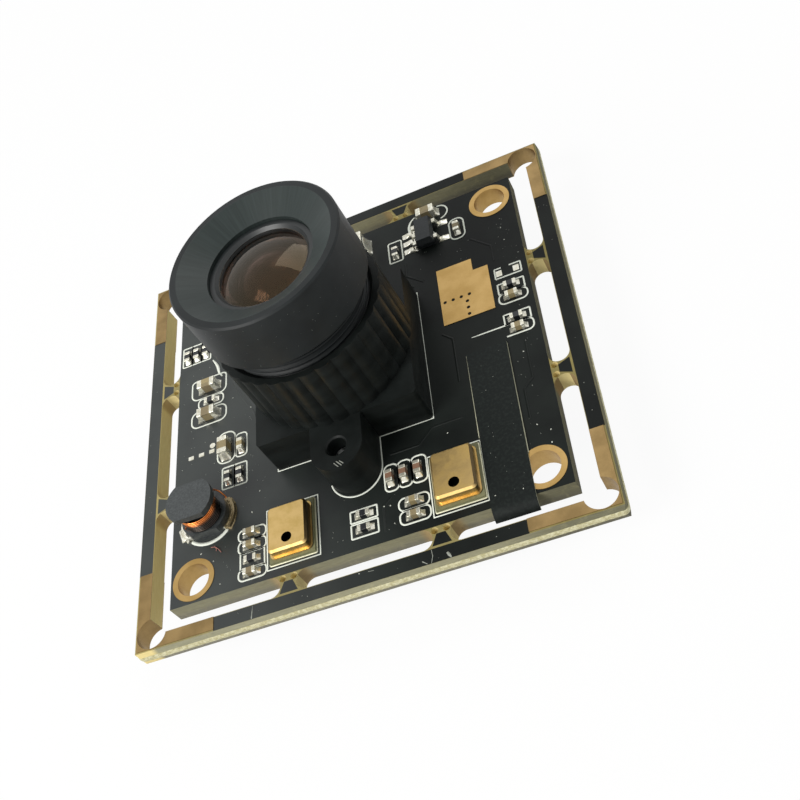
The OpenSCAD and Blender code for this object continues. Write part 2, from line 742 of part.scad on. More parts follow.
// Side-entry socket for the cable, open towards +Y
module cable_socket() color("#d9d3bf") under([0, socket_y]) difference() {
    translate([-socket_w / 2, 0, 0]) cube([socket_w, socket_depth, socket_h]);
    translate([-socket_w / 2 + 0.6, 1.1, 0.6])
        cube([socket_w - 1.2, socket_depth, socket_h - 1.2]);
    for (x = [-1, 1]) translate([x * socket_pitch - 0.35, 1.6, socket_h - 1])
        cube([0.7, socket_depth, 2]);
    for (i = [0:socket_pins_n - 1])
        translate([(i - (socket_pins_n - 1) / 2) * socket_pitch - 0.17, -eps, 1.3])
            cube([0.34, 2, 0.34]);
}
module socket_pins() color("#cfc9b4") under([0, socket_y]) for (i = [0:socket_pins_n - 1])
    translate([(i - (socket_pins_n - 1) / 2) * socket_pitch - 0.15, 0, 0]) {
        translate([0, -0.55, 1.32]) cube([0.3, socket_depth - 0.2, 0.3]);
        translate([0, -0.55, 0]) cube([0.3, 0.25, 1.62]);
        translate([0, -0.75, 0]) cube([0.3, 0.45, 0.25]);
    }
module socket_anchors() color("#cfc9b4") under([0, socket_y]) for (side = [0, 1])
    mirror([side, 0, 0]) {
        translate([socket_w / 2, 1.2, 0]) cube([0.2, 1.8, 1.6]);
        translate([socket_w / 2, 1.2, 0]) cube([1.1, 1.8, 0.2]);
    }

// ---- nodes ---------------------------------------------------------------

circuit_board();
hole_plating();
corner_plating();
heat_pad();
tinned_pads();
blank_label();
lens_holder();
holder_screws();
lens_barrel();
front_ring();
front_lens();
middle_lens();
aperture_ring();
rear_lens();
rear_ring();
ir_cut_filter();
image_sensor();
sensor_glass();
microphone_bases();
microphone_cans();
inductor_core();
inductor_winding();
inductor_terminals();
capacitor_bodies();
capacitor_terminals();
resistor_bodies();
resistor_terminals();
regulator_body();
regulator_leads();
usb_controller();
controller_leads();
flash_memory();
flash_leads();
crystal_base();
crystal_lid();
cable_socket();
socket_pins();
socket_anchors();
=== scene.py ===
import bpy
import bmesh
import math
import numpy as np
from mathutils import Matrix, Vector, noise


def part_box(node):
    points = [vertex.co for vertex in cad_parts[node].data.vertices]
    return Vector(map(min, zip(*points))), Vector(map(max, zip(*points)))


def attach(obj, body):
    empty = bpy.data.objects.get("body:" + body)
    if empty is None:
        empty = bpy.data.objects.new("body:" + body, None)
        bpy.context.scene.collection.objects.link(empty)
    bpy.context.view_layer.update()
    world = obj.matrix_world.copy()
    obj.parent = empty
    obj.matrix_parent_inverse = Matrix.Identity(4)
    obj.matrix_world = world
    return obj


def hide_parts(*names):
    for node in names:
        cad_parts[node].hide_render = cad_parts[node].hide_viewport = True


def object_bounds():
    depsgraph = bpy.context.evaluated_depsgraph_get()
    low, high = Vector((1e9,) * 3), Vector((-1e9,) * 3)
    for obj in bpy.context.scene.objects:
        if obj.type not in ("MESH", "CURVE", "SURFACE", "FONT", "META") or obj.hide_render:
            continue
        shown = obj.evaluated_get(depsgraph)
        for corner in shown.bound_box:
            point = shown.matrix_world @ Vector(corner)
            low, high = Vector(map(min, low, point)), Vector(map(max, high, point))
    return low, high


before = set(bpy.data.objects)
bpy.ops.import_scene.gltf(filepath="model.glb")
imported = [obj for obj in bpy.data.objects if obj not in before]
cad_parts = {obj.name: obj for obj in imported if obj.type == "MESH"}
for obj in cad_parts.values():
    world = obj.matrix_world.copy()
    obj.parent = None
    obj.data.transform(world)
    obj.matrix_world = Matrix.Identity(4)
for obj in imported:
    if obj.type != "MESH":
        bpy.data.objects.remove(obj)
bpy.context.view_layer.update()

# ------------------------------------------------------------------ circuit board
# One plate of glass-epoxy laminate: the square board, its breakaway frame and the
# eight perforated tabs between them. Black solder mask covers both faces of the
# board and the middle of each rail; the routed and scored edges stay bare.
MM = 0.001
TOP = 1.6
BOARD_EDGE = 16.0
RAIL = (17.74, 18.87)
RAIL_MASK_END = 12.22
TAB_AT = 6.0
TAB_MASK = (16.62, 17.56)


def paint(code):
    """The linear colour of an sRGB code such as 30363A."""
    parts = [int(code[i:i + 2], 16) / 255 for i in (0, 2, 4)]
    return [c / 12.92 if c <= 0.04045 else ((c + 0.055) / 1.055) ** 2.4 for c in parts] + [1.0]


class Nodes:
    """A node tree, with a short way to add nodes to it."""

    def __init__(self, tree):
        self.tree = tree

    def node(self, kind, inputs=(), out=0, **settings):
        """Adds a node; inputs are (socket name or number, value or other node's output)."""
        made = self.tree.nodes.new(kind)
        for label, value in settings.items():
            setattr(made, label, value)
        for label, value in dict(inputs).items():
            if isinstance(value, bpy.types.NodeSocket):
                self.tree.links.new(value, made.inputs[label])
            else:
                made.inputs[label].default_value = value
        return made.outputs[out]

    def math(self, kind, *values):
        return self.node("ShaderNodeMath", dict(enumerate(values)), operation=kind)


class Finish(Nodes):
    """A surface finish: one Principled shader, and the nodes that vary it over a piece."""

    def __init__(self, name, colour, roughness, metal=0.0, **sockets):
        self.material = bpy.data.materials.new(name)
        self.material.use_nodes = True
        super().__init__(self.material.node_tree)
        self.shader = self.tree.nodes["Principled BSDF"]
        self.set("Base Color", paint(colour))
        self.set("Roughness", roughness)
        self.set("Metallic", metal)
        for label, value in sockets.items():
            self.set(label.replace("_", " "), value)
        self.bump = None

    def set(self, label, value):
        if isinstance(value, bpy.types.NodeSocket):
            self.tree.links.new(value, self.shader.inputs[label])
        else:
            self.shader.inputs[label].default_value = value

    def place(self, turn=(0, 0, 0), scale=(1000, 1000, 1000)):
        """Object coordinates, in mm unless scaled otherwise."""
        where = self.node("ShaderNodeTexCoord", out="Object")
        return self.node("ShaderNodeMapping", {"Vector": where, "Rotation": turn, "Scale": scale})

    def split(self, vector, axis):
        return self.node("ShaderNodeSeparateXYZ", {0: vector}, out=axis)

    def join(self, x, y, z):
        return self.node("ShaderNodeCombineXYZ", {0: x, 1: y, 2: z})

    def band(self, value, low, high, to=(0.0, 1.0)):
        """Rises smoothly from to[0] at low to to[1] at high."""
        return self.node("ShaderNodeMapRange", {0: value, 1: low, 2: high, 3: to[0], 4: to[1]},
                         interpolation_type="SMOOTHSTEP")

    def blend(self, share, first, second, kind="MIX"):
        return self.node("ShaderNodeMix", {0: share, 6: first, 7: second}, out=2,
                         data_type="RGBA", blend_type=kind)

    def grain(self, where, scale, detail=3.0, roughness=0.55):
        """Even cloudy noise between 0 and 1, of that many grains per mm."""
        return self.node("ShaderNodeTexNoise", {"Vector": where, "Scale": scale, "Detail": detail,
                                                "Roughness": roughness}, out=0)

    def relief(self, height, strength, depth):
        """Raises the surface by height; depth is the size of the relief in mm."""
        inputs = {"Strength": strength, "Distance": depth * MM, "Height": height}
        if self.bump is not None:
            inputs["Normal"] = self.bump
        self.bump = self.node("ShaderNodeBump", inputs)
        self.set("Normal", self.bump)

    def clouded(self, grain, tones, band=None, relief=()):
        """Wanders between two tones by one grain; a relief is (its own grain or None, strength, depth)."""
        where = self.place()
        cloud = self.grain(where, *grain)
        share = self.band(cloud, *band) if band else cloud
        self.set("Base Color", self.blend(share, *map(paint, tones)))
        for own, strength, depth in relief:
            self.relief(self.grain(where, *own) if own else cloud, strength, depth)
        return cloud


def dress(finish, *nodes):
    """Gives CAD nodes a finish."""
    for name in nodes:
        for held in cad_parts[name].material_slots:
            held.material = finish.material


def solder_mask(name):
    """Black mask, with a painted sheen that makes it paler towards -X, and glossier there: the finish, its
    place in mm and its ink.
    """
    finish = Finish(name, "1B201F", 0.4)
    where = finish.place()
    mottle = finish.band(finish.grain(where, 0.22, 3.0, 0.5), 0.35, 0.65)
    # Painted sheen: the mask's ink is painted paler towards -X, where it reflects the brighter surround.
    pale = finish.band(finish.split(where, 0), 11.0, -16.0)
    ink = finish.blend(pale, finish.blend(mottle, paint("0F1211"), paint("181C1A")),
                       finish.blend(mottle, paint("222726"), paint("2D3230")))
    finish.set("Specular IOR Level", finish.band(pale, 0.0, 1.0, (0.12, 0.52)))
    finish.set("Base Color", ink)
    return finish, where, ink


masked, mm, ink = solder_mask("solder_mask_on_laminate")
px, py, pz = (masked.split(mm, a) for a in range(3))
ax, ay = masked.math("ABSOLUTE", px), masked.math("ABSOLUTE", py)
across, along = masked.math("MAXIMUM", ax, ay), masked.math("MINIMUM", ax, ay)
up = masked.math("ABSOLUTE", masked.split(masked.node("ShaderNodeTexCoord", out="Normal"), 2))
on_board = masked.math("LESS_THAN", across, BOARD_EDGE + 0.02)
on_rail = masked.math("MULTIPLY", masked.math("GREATER_THAN", across, RAIL[0]),
                      masked.math("MULTIPLY", masked.math("LESS_THAN", across, RAIL[1]),
                                  masked.math("LESS_THAN", along, RAIL_MASK_END)))
# Between the two perforations of a tab the mask widens towards the rail.
tab_reach = masked.math("MULTIPLY_ADD", masked.math("SUBTRACT", across, 16.8), 0.43, 0.42)
tab_side = masked.math("ABSOLUTE", masked.math("SUBTRACT", along, TAB_AT))
on_tab = masked.math("MULTIPLY", masked.math("LESS_THAN", tab_side, tab_reach),
                     masked.math("MULTIPLY", masked.math("GREATER_THAN", across, TAB_MASK[0]),
                                 masked.math("LESS_THAN", across, TAB_MASK[1])))
faces = masked.math("GREATER_THAN", up, 0.72)
under_mask = masked.math("MULTIPLY", faces, masked.math(
    "MAXIMUM", on_board, masked.math("MAXIMUM", on_rail, on_tab)))
# Bare laminate: resin and glass in layers along the walls, greyer in the lower half, painted darker towards
# +X as shade, painted bright yellow on the rail at -X as light shining through it, tan at the ends of the
# slots and cream in the perforations.
walls = masked.math("SUBTRACT", 1.0, faces)
fibres = masked.grain(masked.join(px, py, masked.math("MULTIPLY", pz, 9.0)), 0.9, 4.0, 0.62)
cloud = masked.grain(mm, 1.7, 4.0, 0.6)
resin = masked.blend(fibres, paint("78755E"), paint("A7A388"))
resin = masked.blend(masked.math("MULTIPLY", masked.band(pz, 0.9, 0.3), 0.42), resin, paint("55525A"))
# Painted shade: the walls are painted darker towards +X, away from the key lamp.
resin = masked.blend(masked.math("MULTIPLY", masked.band(px, 8.0, 15.0), 0.45), resin, paint("3A3828"))
# Painted light: the rail's wall at -X is painted bright yellow for light shining through the laminate.
resin = masked.blend(masked.band(px, -17.0, -17.6), resin,
                     masked.blend(fibres, paint("D6BE78"), paint("EEDDA0")))
in_slot = masked.math("MULTIPLY", walls, masked.math("LESS_THAN", across, RAIL[0] + 0.1))
near_tab = masked.math("MULTIPLY", in_slot, masked.band(tab_side, 1.9, 1.1))
resin = masked.blend(masked.math("MULTIPLY", near_tab, 0.7), resin, paint("A98D5F"))
punched = masked.math("MULTIPLY", in_slot, masked.math(
    "MULTIPLY", masked.math("LESS_THAN", tab_side, 0.78), masked.math("GREATER_THAN", across, 16.03)))
resin = masked.blend(masked.math("MULTIPLY", punched, 0.9), resin, paint("E4D398"))
resin = masked.blend(masked.math("MULTIPLY", masked.band(cloud, 0.52, 0.68), 0.12), resin, paint("C9BF8E"))
tab_face = masked.math("MULTIPLY", faces, masked.math("GREATER_THAN", across, BOARD_EDGE))
resin = masked.blend(masked.math("MULTIPLY", tab_face, 0.8), resin,
                     masked.blend(cloud, paint("7C7040"), paint("A2935A")))
masked.set("Base Color", masked.blend(under_mask, resin, ink))
masked.set("Roughness", masked.band(under_mask, 0.0, 1.0, (0.78, 0.42)))
peel = masked.grain(mm, 3.4, 2.0, 0.5)
masked.relief(peel, 0.25, 0.02)
masked.relief(masked.math("MULTIPLY", masked.math("SUBTRACT", 1.0, under_mask), fibres), 0.6, 0.05)
dress(masked, "circuit_board")


# ---------------------------------------------------------------- scored edges
# The panel was scored from both faces and snapped apart, so the web that was left
# between the two scores stands as a ragged cream strip of torn glass all round.
class Jig(Nodes):
    """A Geometry Nodes tree that makes one kind of piece, with a named input for each size."""

    KINDS = {float: "Float", int: "Int", bpy.types.Object: "Object", bpy.types.Material: "Material"}

    def __init__(self, name, **sizes):
        super().__init__(bpy.data.node_groups.new(name, "GeometryNodeTree"))
        sockets = self.tree.interface
        sockets.new_socket("Geometry", in_out="INPUT", socket_type="NodeSocketGeometry")
        self.keys = {}
        for label, value in dict(sizes, Finish=bpy.types.Material).items():
            kind = value if isinstance(value, type) else type(value)
            made = sockets.new_socket(label.replace("_", " "), in_out="INPUT",
                                      socket_type="NodeSocket" + self.KINDS[kind])
            if not isinstance(value, type):
                made.default_value = value
            self.keys[label] = made.identifier
        sockets.new_socket("Geometry", in_out="OUTPUT", socket_type="NodeSocketGeometry")
        self.entry = self.tree.nodes.new("NodeGroupInput")
        self.exit = self.tree.nodes.new("NodeGroupOutput")

    def size(self, label):
        return self.entry.outputs[label.replace("_", " ")]

    def close(self, shape):
        """Ends the tree: instances made real, and the finish set."""
        real = self.node("GeometryNodeRealizeInstances", {"Geometry": shape})
        done = self.node("GeometryNodeSetMaterial", {"Geometry": real, "Material": self.size("Finish")})
        self.tree.links.new(done, self.exit.inputs[0])

    def make(self, base, name, finish, body, slot, **sizes):
        """Runs the tree on the object base and leaves one plain mesh that rides on body."""
        live = base.modifiers.new(name, "NODES")
        live.node_group = self.tree
        for label, value in dict(sizes, Finish=finish.material).items():
            live[self.keys[label]] = value
        bpy.context.view_layer.update()
        view = base.evaluated_get(bpy.context.evaluated_depsgraph_get())
        mesh = bpy.data.meshes.new_from_object(view)
        base.modifiers.remove(live)
        bpy.data.objects.remove(base)
        return settle(bpy.data.objects.new(name, mesh), body)


def settle(piece, body):
    """Puts a finished piece into the scene, on its body."""
    mesh = piece.data
    mesh.name = piece.name
    bpy.context.scene.collection.objects.link(piece)
    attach(piece, body)
    return piece


def base_of(name, verts, edges=(), faces=()):
    """A plain mesh object in the scene, from points in metres."""
    mesh = bpy.data.meshes.new(name)
    mesh.from_pydata(verts, edges, faces)
    base = bpy.data.objects.new(name, mesh)
    bpy.context.scene.collection.objects.link(base)
    return base


def strokes(name, paths):
    """Lines through points in mm, as (points, closed) or (points, closed, girths)."""
    verts, edges, girths = [], [], []
    for points, closed, *girth in paths:
        first, count = len(verts), len(points)
        verts += [tuple(c * MM for c in p) for p in points]
        edges += [(first + i, first + i + 1) for i in range(count - 1)]
        if closed:
            edges.append((first + count - 1, first))
        girths += list(girth[0]) if girth else [1.0] * count
    base = base_of(name, verts, edges)
    base.data.attributes.new("girth", "FLOAT", "POINT").data.foreach_set("value", girths)
    return base


torn = Jig("torn_web", Width=0.62 * MM, Depth=0.14 * MM, Step=0.09 * MM, Tear=0.07 * MM, Seed=0.37)
line = torn.node("GeometryNodeMeshToCurve", {"Mesh": torn.entry.outputs[0]})
line = torn.node("GeometryNodeResampleCurve", {"Curve": line, "Length": torn.size("Step")}, mode="LENGTH")
line = torn.node("GeometryNodeSetCurveNormal", {"Curve": line}, mode="Z_UP")
oval = torn.node("GeometryNodeCurvePrimitiveCircle", {"Resolution": 9, "Radius": 0.5}, mode="RADIUS")
oval = torn.node("GeometryNodeTransform", {"Geometry": oval, "Scale": torn.node(
    "ShaderNodeCombineXYZ", {0: torn.size("Depth"), 1: torn.size("Width"), 2: 1.0})})
web = torn.node("GeometryNodeCurveToMesh", {"Curve": line, "Profile Curve": oval, "Fill Caps": True})
spot = torn.node("GeometryNodeInputPosition")
rough = torn.node("ShaderNodeTexNoise", {"Vector": torn.node("ShaderNodeVectorMath", {
    0: spot, 1: (3800, 3800, 2600)}, operation="MULTIPLY"), "W": torn.size("Seed"), "Scale": 1.0,
    "Detail": 4.0, "Roughness": 0.7}, out=1, noise_dimensions="4D")
shift = torn.node("ShaderNodeVectorMath", {0: torn.node("ShaderNodeVectorMath", {
    0: rough, 1: (0.5, 0.5, 0.5)}, operation="SUBTRACT"), "Scale": torn.size("Tear")}, operation="SCALE")
web = torn.node("GeometryNodeSetPosition", {"Geometry": web, "Offset": shift})
torn.close(web)

torn_glass = Finish("torn_glass_fibre", "DDD8AC", 0.85)
torn_glass.clouded((3.2, 4.0, 0.7), ("B4AC82", "D6D1AE"), (0.38, 0.62), [((8.0, 3.0), 0.3, 0.03)])


def round_path(points, radius, z, closed=True, steps=6):
    """A polygon with its corners rounded, as points at height z."""
    out, count = [], len(points)
    for i, corner in enumerate(points):
        r = radius[i] if isinstance(radius, (list, tuple)) else radius
        if (not closed and i in (0, count - 1)) or r <= 0:
            out.append((corner[0], corner[1], z))
            continue
        c = Vector(corner)
        a = (Vector(points[i - 1]) - c)
        b = (Vector(points[(i + 1) % count]) - c)
        half = a.angle(b) / 2
        cut = min(r / math.tan(half), a.length * 0.49, b.length * 0.49)
        r = cut * math.tan(half)
        start, end = c + a.normalized() * cut, c + b.normalized() * cut
        middle = c + (a.normalized() + b.normalized()).normalized() * (r / math.sin(half))
        u, v = start - middle, end - middle
        turn = u.angle_signed(v)
        for k in range(steps + 1):
            q = middle + Matrix.Rotation(-turn * k / steps, 2) @ u
            out.append((q.x, q.y, z))
    return out


def box_path(x0, y0, x1, y1, radius, z):
    return round_path([(x0, y0), (x1, y0), (x1, y1), (x0, y1)], radius, z), True


WEB_REACH = 18.985
torn.make(strokes("torn_web", [box_path(-WEB_REACH, -WEB_REACH, WEB_REACH, WEB_REACH, 0.4, TOP / 2)]),
          "torn_web", torn_glass, "board", "board")

# -------------------------------------------------------------- copper under mask
# Copper tracks run under the solder mask and lift it by a few hundredths of a
# millimetre, so they show as low ridges with the same black finish.
ribbon = Jig("printed_line", Width=0.13 * MM, Thickness=0.024 * MM)
line = ribbon.node("GeometryNodeMeshToCurve", {"Mesh": ribbon.entry.outputs[0]})
girth = ribbon.node("GeometryNodeInputNamedAttribute", {"Name": "girth"}, data_type="FLOAT")
line = ribbon.node("GeometryNodeSetCurveNormal", {"Curve": line}, mode="Z_UP")
bar = ribbon.node("GeometryNodeCurvePrimitiveQuadrilateral", {"Width": ribbon.size("Width"),
                                                              "Height": ribbon.size("Thickness")})
ribbon.close(ribbon.node("GeometryNodeCurveToMesh", {"Curve": line, "Profile Curve": bar, "Scale": girth,
                                                     "Fill Caps": True}))

tracks = [
    [(-10.7, 4.6), (-9.9, 2.4), (-8.7, 0.2), (-8.2, -2.4)],
    [(-10.2, 4.4), (-9.5, 2.5), (-8.3, 0.3), (-7.8, -2.2)],
    [(2.6, -12.4), (1.9, -13.0), (1.9, -15.2)], [(5.4, 10.4), (5.4, 8.6), (6.4, 7.4)],
    [(5.9, 10.4), (5.9, 8.9), (7.3, 7.6)], [(11.8, 10.4), (13.4, 8.8), (13.4, 7.0)],
    [(8.2, 1.2), (9.0, 0.4), (9.0, -4.0)], [(14.6, -2.2), (14.6, -6.0), (13.8, -6.8), (13.8, -9.6)],
    [(2.8, -8.6), (5.2, -8.6), (6.4, -7.4), (8.8, -7.4)],
]
lifted = [(round_path(t, 0.25, TOP + 0.004, closed=False), False) for t in tracks]
lifted += [([(x, -y, -0.004) for x, y, _ in path], False) for path, _ in lifted]
mask_over_copper, mm = solder_mask("mask_over_copper")[:2]
mask_over_copper.relief(mask_over_copper.grain(mm, 3.4, 2.0, 0.5), 0.25, 0.02)
ribbon.make(strokes("masked_tracks", lifted), "masked_tracks", mask_over_copper, "board", "board",
            Width=0.2 * MM, Thickness=0.012 * MM)

# ------------------------------------------------------------------- gold lands
# Copper plated with nickel and a thin coat of gold: rings and walls of the mounting
# holes, the lands of the frame's corners, and a bare area that spreads heat.
def gold_plate(name, deep, pale):
    """Satin gold between two tones."""
    finish = Finish(name, pale, 0.4, 1.0)
    where = finish.place()
    fine = finish.grain(where, 7.0, 3.0, 0.6)
    finish.set("Base Color", finish.blend(finish.band(finish.grain(where, 0.55, 3.0, 0.5), 0.3, 0.7),
                                          paint(deep), paint(pale)))
    finish.set("Roughness", finish.band(fine, 0.3, 0.75, (0.36, 0.52)))
    finish.relief(fine, 0.18, 0.02)
    finish.relief(finish.grain(where, 1.1, 2.0), 0.1, 0.05)
    return finish


dress(gold_plate("immersion_gold", "A98A53", "B99A63"), "hole_plating", "heat_pad")
dress(gold_plate("gold_on_frame", "86704A", "9D8459"), "corner_plating")

# ------------------------------------------------------------------ silk screen
# Epoxy ink screened on the mask: an outline round each part, square for resistors
# and round-ended for capacitors, and the outline of the lens holder with its ears.
INK_Z = TOP + 0.008
silk = [box_path(*corners, radius, INK_Z) for *corners, radius in (
    (-11.6, -6.58, -10.5, -4.46, 0.16), (-10.5, -6.58, -9.37, -4.46, 0.16),
    (-10.12, -12.04, -7.76, -11.02, 0.42), (-10.12, -13.12, -7.76, -12.04, 0.42),
    (-9.95, -14.58, -7.9, -13.1, 0.08), (-10.12, -15.5, -7.76, -14.5, 0.42),
    (-0.75, -13.6, 1.4, -12.6, 0.08), (-0.75, -14.96, 1.4, -13.76, 0.08),
    (3.1, -13.94, 5.5, -12.86, 0.45), (3.1, -15.14, 5.5, -13.98, 0.45),
    (2.2, -11.9, 3.3, -9.52, 0.42), (3.3, -11.9, 4.38, -9.52, 0.42), (4.38, -11.9, 5.58, -9.52, 0.45),
    (-7.66, -15.3, -3.3, -10.0, 0.0), (5.66, -15.3, 9.86, -10.0, 0.0),
    (-15.72, 8.06, -14.8, 10.24, 0.1), (-14.8, 8.06, -13.86, 10.24, 0.1), (-13.86, 8.06, -12.96, 10.24, 0.1),
    (-14.68, 3.76, -11.36, 5.86, [0.6, 0.6, 0.35, 0.35]), (-14.02, 2.66, -11.62, 3.68, 0.4),
    (-14.64, 0.72, -11.32, 2.4, 0.62), (-12.08, -3.96, -10.44, -0.86, 0.7),
    (-10.4, -3.8, -9.36, -1.46, 0.36), (4.56, 11.02, 5.78, 13.46, 0.16), (10.18, 11.02, 11.48, 13.46, 0.55))]


def inked(*points):
    """Flat points at the height of the ink."""
    return [(x, y, INK_Z) for x, y in points]


def bracket(radius, *points):
    """An outline that stays open at one side."""
    return round_path(points, radius, INK_Z, closed=False), False


def arc(x, y, r, start, end, z=INK_Z, steps=40):
    """Points along a circle, from one angle to another in degrees."""
    return [(x + r * math.cos(math.radians(a)), y + r * math.sin(math.radians(a)), z)
            for a in np.linspace(start, end, steps)]


silk += [
    bracket(0.06, (13.86, 5.94), (13.28, 5.94), (13.28, 4.86), (15.48, 4.86), (15.48, 5.94), (14.54, 5.94)),
    bracket(0.06, (13.9, 4.2), (13.3, 4.2), (13.3, 3.1), (15.48, 3.1), (15.48, 4.2), (14.52, 4.2)),
    box_path(13.22, 1.98, 15.6, 3.1, 0.48, INK_Z),
    bracket(0.06, (13.9, 0.84), (13.32, 0.84), (13.32, -0.2), (15.46, -0.2), (15.46, 0.84), (14.52, 0.84)),
    bracket(0.46, (13.3, -1.36), (15.56, -1.36), (15.56, -0.2), (13.3, -0.2)),
    # outline of the holder and its ears
    (inked((2.12, -6.62), (6.58, -6.62), (6.58, 6.62), (2.12, 6.62)), False),
    (inked((-2.12, -6.62), (-6.58, -6.62), (-6.58, 6.62), (-2.12, 6.62)), False),
    (inked((2.12, -6.62)) + arc(0, -9.2, 2.12, 0, -168), False),
    (inked((2.12, 6.62)) + arc(0, 9.2, 2.12, 0, 180) + inked((-2.12, 6.62)), False),
    (inked((10.5, -0.2), (11.2, -0.2), (13.35, -0.2)), False, [0.35, 0.8, 1.0]),
    (arc(9.45, 15.0, 0.82, 95, -80), False),
    (inked((8.7, 12.92), (9.2, 12.1)), False, [1.3, 1.0]),
]
# The tails that the screen drew out beside the regulator and below the resistors.
tail_a = arc(8.0, 14.35, 1.36, 122, 200, steps=16)
tail_b = inked((-12.72, 7.75), (-12.45, 7.3), (-12.22, 6.8), (-12.12, 6.35), (-12.05, 5.95), (-11.75, 5.5))
silk += [(tail_a, False, list(np.linspace(0.7, 2.1, 16))), (tail_b, False, [0.7, 1.5, 1.9, 1.9, 1.3, 0.9]),
         (arc(-12.7, -8.95, 2.2, -42, -134, steps=30), False, [1.3] + [2.15] * 28 + [1.3])]
# Underside: outlines of the controller, the flash memory, the crystal and the socket.
under_z = -0.008
silk += [
    box_path(-4.9, -4.9, 4.9, 4.9, 0.0, under_z), box_path(8.2, -6.1, 13.8, -0.3, 0.12, under_z),
    box_path(-12.6, 1.0, -8.6, 4.2, 0.12, under_z), box_path(-5.2, 10.7, 5.2, 15.8, 0.0, under_z),
    (arc(-5.25, 5.25, 0.12, 0, 330, under_z, 10), True),
]
ink_white = Finish("screen_ink", "EEF1E6", 0.62)
ink_white.clouded((2.6, 4.0, 0.65), ("F0F3E8", "A9AFA7"), (0.6, 0.82), [((6.0, 2.0), 0.4, 0.03)])
ribbon.make(strokes("silk_screen", silk), "silk_screen", ink_white, "board", "board",
            Width=0.135 * MM)

# ------------------------------------------------------------------ chip parts
# Ceramic capacitors and resistors with dipped ends of tinned silver. Each end wraps
# a little over the ceramic, and a fillet of solder climbs it from the pad.
placed = Jig("placed_piece", Piece=bpy.types.Object)
points = placed.node("GeometryNodeMeshToPoints", {"Mesh": placed.entry.outputs[0]})
shape = placed.node("GeometryNodeObjectInfo", {"Object": placed.size("Piece")}, out="Geometry")
facing = placed.node("GeometryNodeInputNamedAttribute", {"Name": "facing"}, data_type="FLOAT_VECTOR")
extent = placed.node("GeometryNodeInputNamedAttribute", {"Name": "extent"}, data_type="FLOAT_VECTOR")
placed.close(placed.node("GeometryNodeInstanceOnPoints", {
    "Points": points, "Instance": shape, "Rotation": facing, "Scale": extent}))


def place_all(master, spots, name, finish, body, slot):
    """One piece made of the master at each spot: (point in mm, facing, extent in mm)."""
    base = base_of(name + "_spots", [[c * MM for c in s[0]] for s in spots])
    for label, k in (("facing", 1), ("extent", 2)):
        flat = np.array([s[k] for s in spots], dtype=float).ravel()
        base.data.attributes.new(label, "FLOAT_VECTOR", "POINT").data.foreach_set("vector", flat)
    return placed.make(base, name, finish, body, slot, Piece=master)


def from_bmesh(bm, name, smooth=True):
    bmesh.ops.recalc_face_normals(bm, faces=bm.faces)
    mesh = bpy.data.meshes.new(name)
    bm.to_mesh(mesh)
    bm.free()
    if smooth:
        mesh.shade_smooth()
    return bpy.data.objects.new(name, mesh)


def soft_block(name, rounding, segments=3):
    """A block of 1 mm a side with rounded edges; rounding gives the radius along x, y and z."""
    bm = bmesh.new()
    bmesh.ops.create_cube(bm, size=1.0)
    bmesh.ops.scale(bm, vec=[1 / r for r in rounding], verts=bm.verts)
    bmesh.ops.bevel(bm, geom=bm.edges[:], offset=1.0, segments=segments, profile=0.5, affect="EDGES")
    bmesh.ops.scale(bm, vec=[r * MM for r in rounding], verts=bm.verts)
    return from_bmesh(bm, name, smooth=False)


def lumps(node):
    """The separate solids of a CAD node, as (low, high) corners in mm."""
    copy = bmesh.new()
    copy.from_mesh(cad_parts[node].data)
    bmesh.ops.remove_doubles(copy, verts=copy.verts, dist=1e-6)
    seen, out = set(), []
    for start in copy.verts:
        if start in seen:
            continue
        seen.add(start)
        todo, cloud = [start], []
        while todo:
            v = todo.pop()
            cloud.append(v.co / MM)
            for e in v.link_edges:
                other = e.other_vert(v)
                if other not in seen:
                    seen.add(other)
                    todo.append(other)
        pts = np.array([tuple(c) for c in cloud])
        out.append((pts.min(0), pts.max(0)))
    copy.free()
    return sorted(out, key=lambda b: tuple(b[0]))


def box_spots(boxes, grow):
    """Spots for soft_block: one round each box, larger by grow on each axis."""
    return [(tuple((lo + hi) / 2), (0, 0, 0), tuple(hi - lo + np.array(grow))) for lo, hi in boxes]


def across_grow(boxes, wrap):
    """Each end grows by wrap over the ceramic, but not down into the board."""
    out = []
    for lo, hi in boxes:
        up_side = hi[2] > 0.5
        low, high = lo - [wrap, wrap, 0 if up_side else wrap], hi + [wrap, wrap, wrap if up_side else 0]
        out.append((tuple((low + high) / 2), (0, 0, 0), tuple(high - low)))
    return out


capacitor_boxes, resistor_boxes = lumps("capacitor_bodies"), lumps("resistor_bodies")
capacitor_ends, resistor_ends = lumps("capacitor_terminals"), lumps("resistor_terminals")

ceramic = Finish("capacitor_ceramic", "9A8A66", 0.5)
mm = ceramic.place()
part_of_lot = ceramic.node("ShaderNodeVectorMath", {0: mm, 1: (1.15, 1.15, 1.15)}, operation="SNAP")
lot = ceramic.grain(part_of_lot, 0.45, 0.0)
pits = ceramic.grain(mm, 9.0, 3.0, 0.6)
# Three of the capacitors by the right-hand microphone are of a redder ceramic.
cx, cy = ceramic.split(mm, 0), ceramic.split(mm, 1)
red_lot = ceramic.math("MULTIPLY", ceramic.math("COMPARE", cx, 3.8, 1.8),
                       ceramic.math("COMPARE", cy, -10.75, 0.8))
body_tan = ceramic.blend(ceramic.band(lot, 0.35, 0.65), paint("85775A"), paint("A8986E"))
body_tan = ceramic.blend(red_lot, body_tan, paint("84634F"))
ceramic.set("Base Color", ceramic.blend(ceramic.band(pits, 0.55, 0.75), body_tan, paint("6B5F48")))
ceramic.relief(pits, 0.3, 0.02)

film = Finish("resistor_glaze", "17191B", 0.28)
film.clouded((6.0, 3.0), ("15171A", "25282C"), (0.5, 0.7), [(None, 0.12, 0.02)])

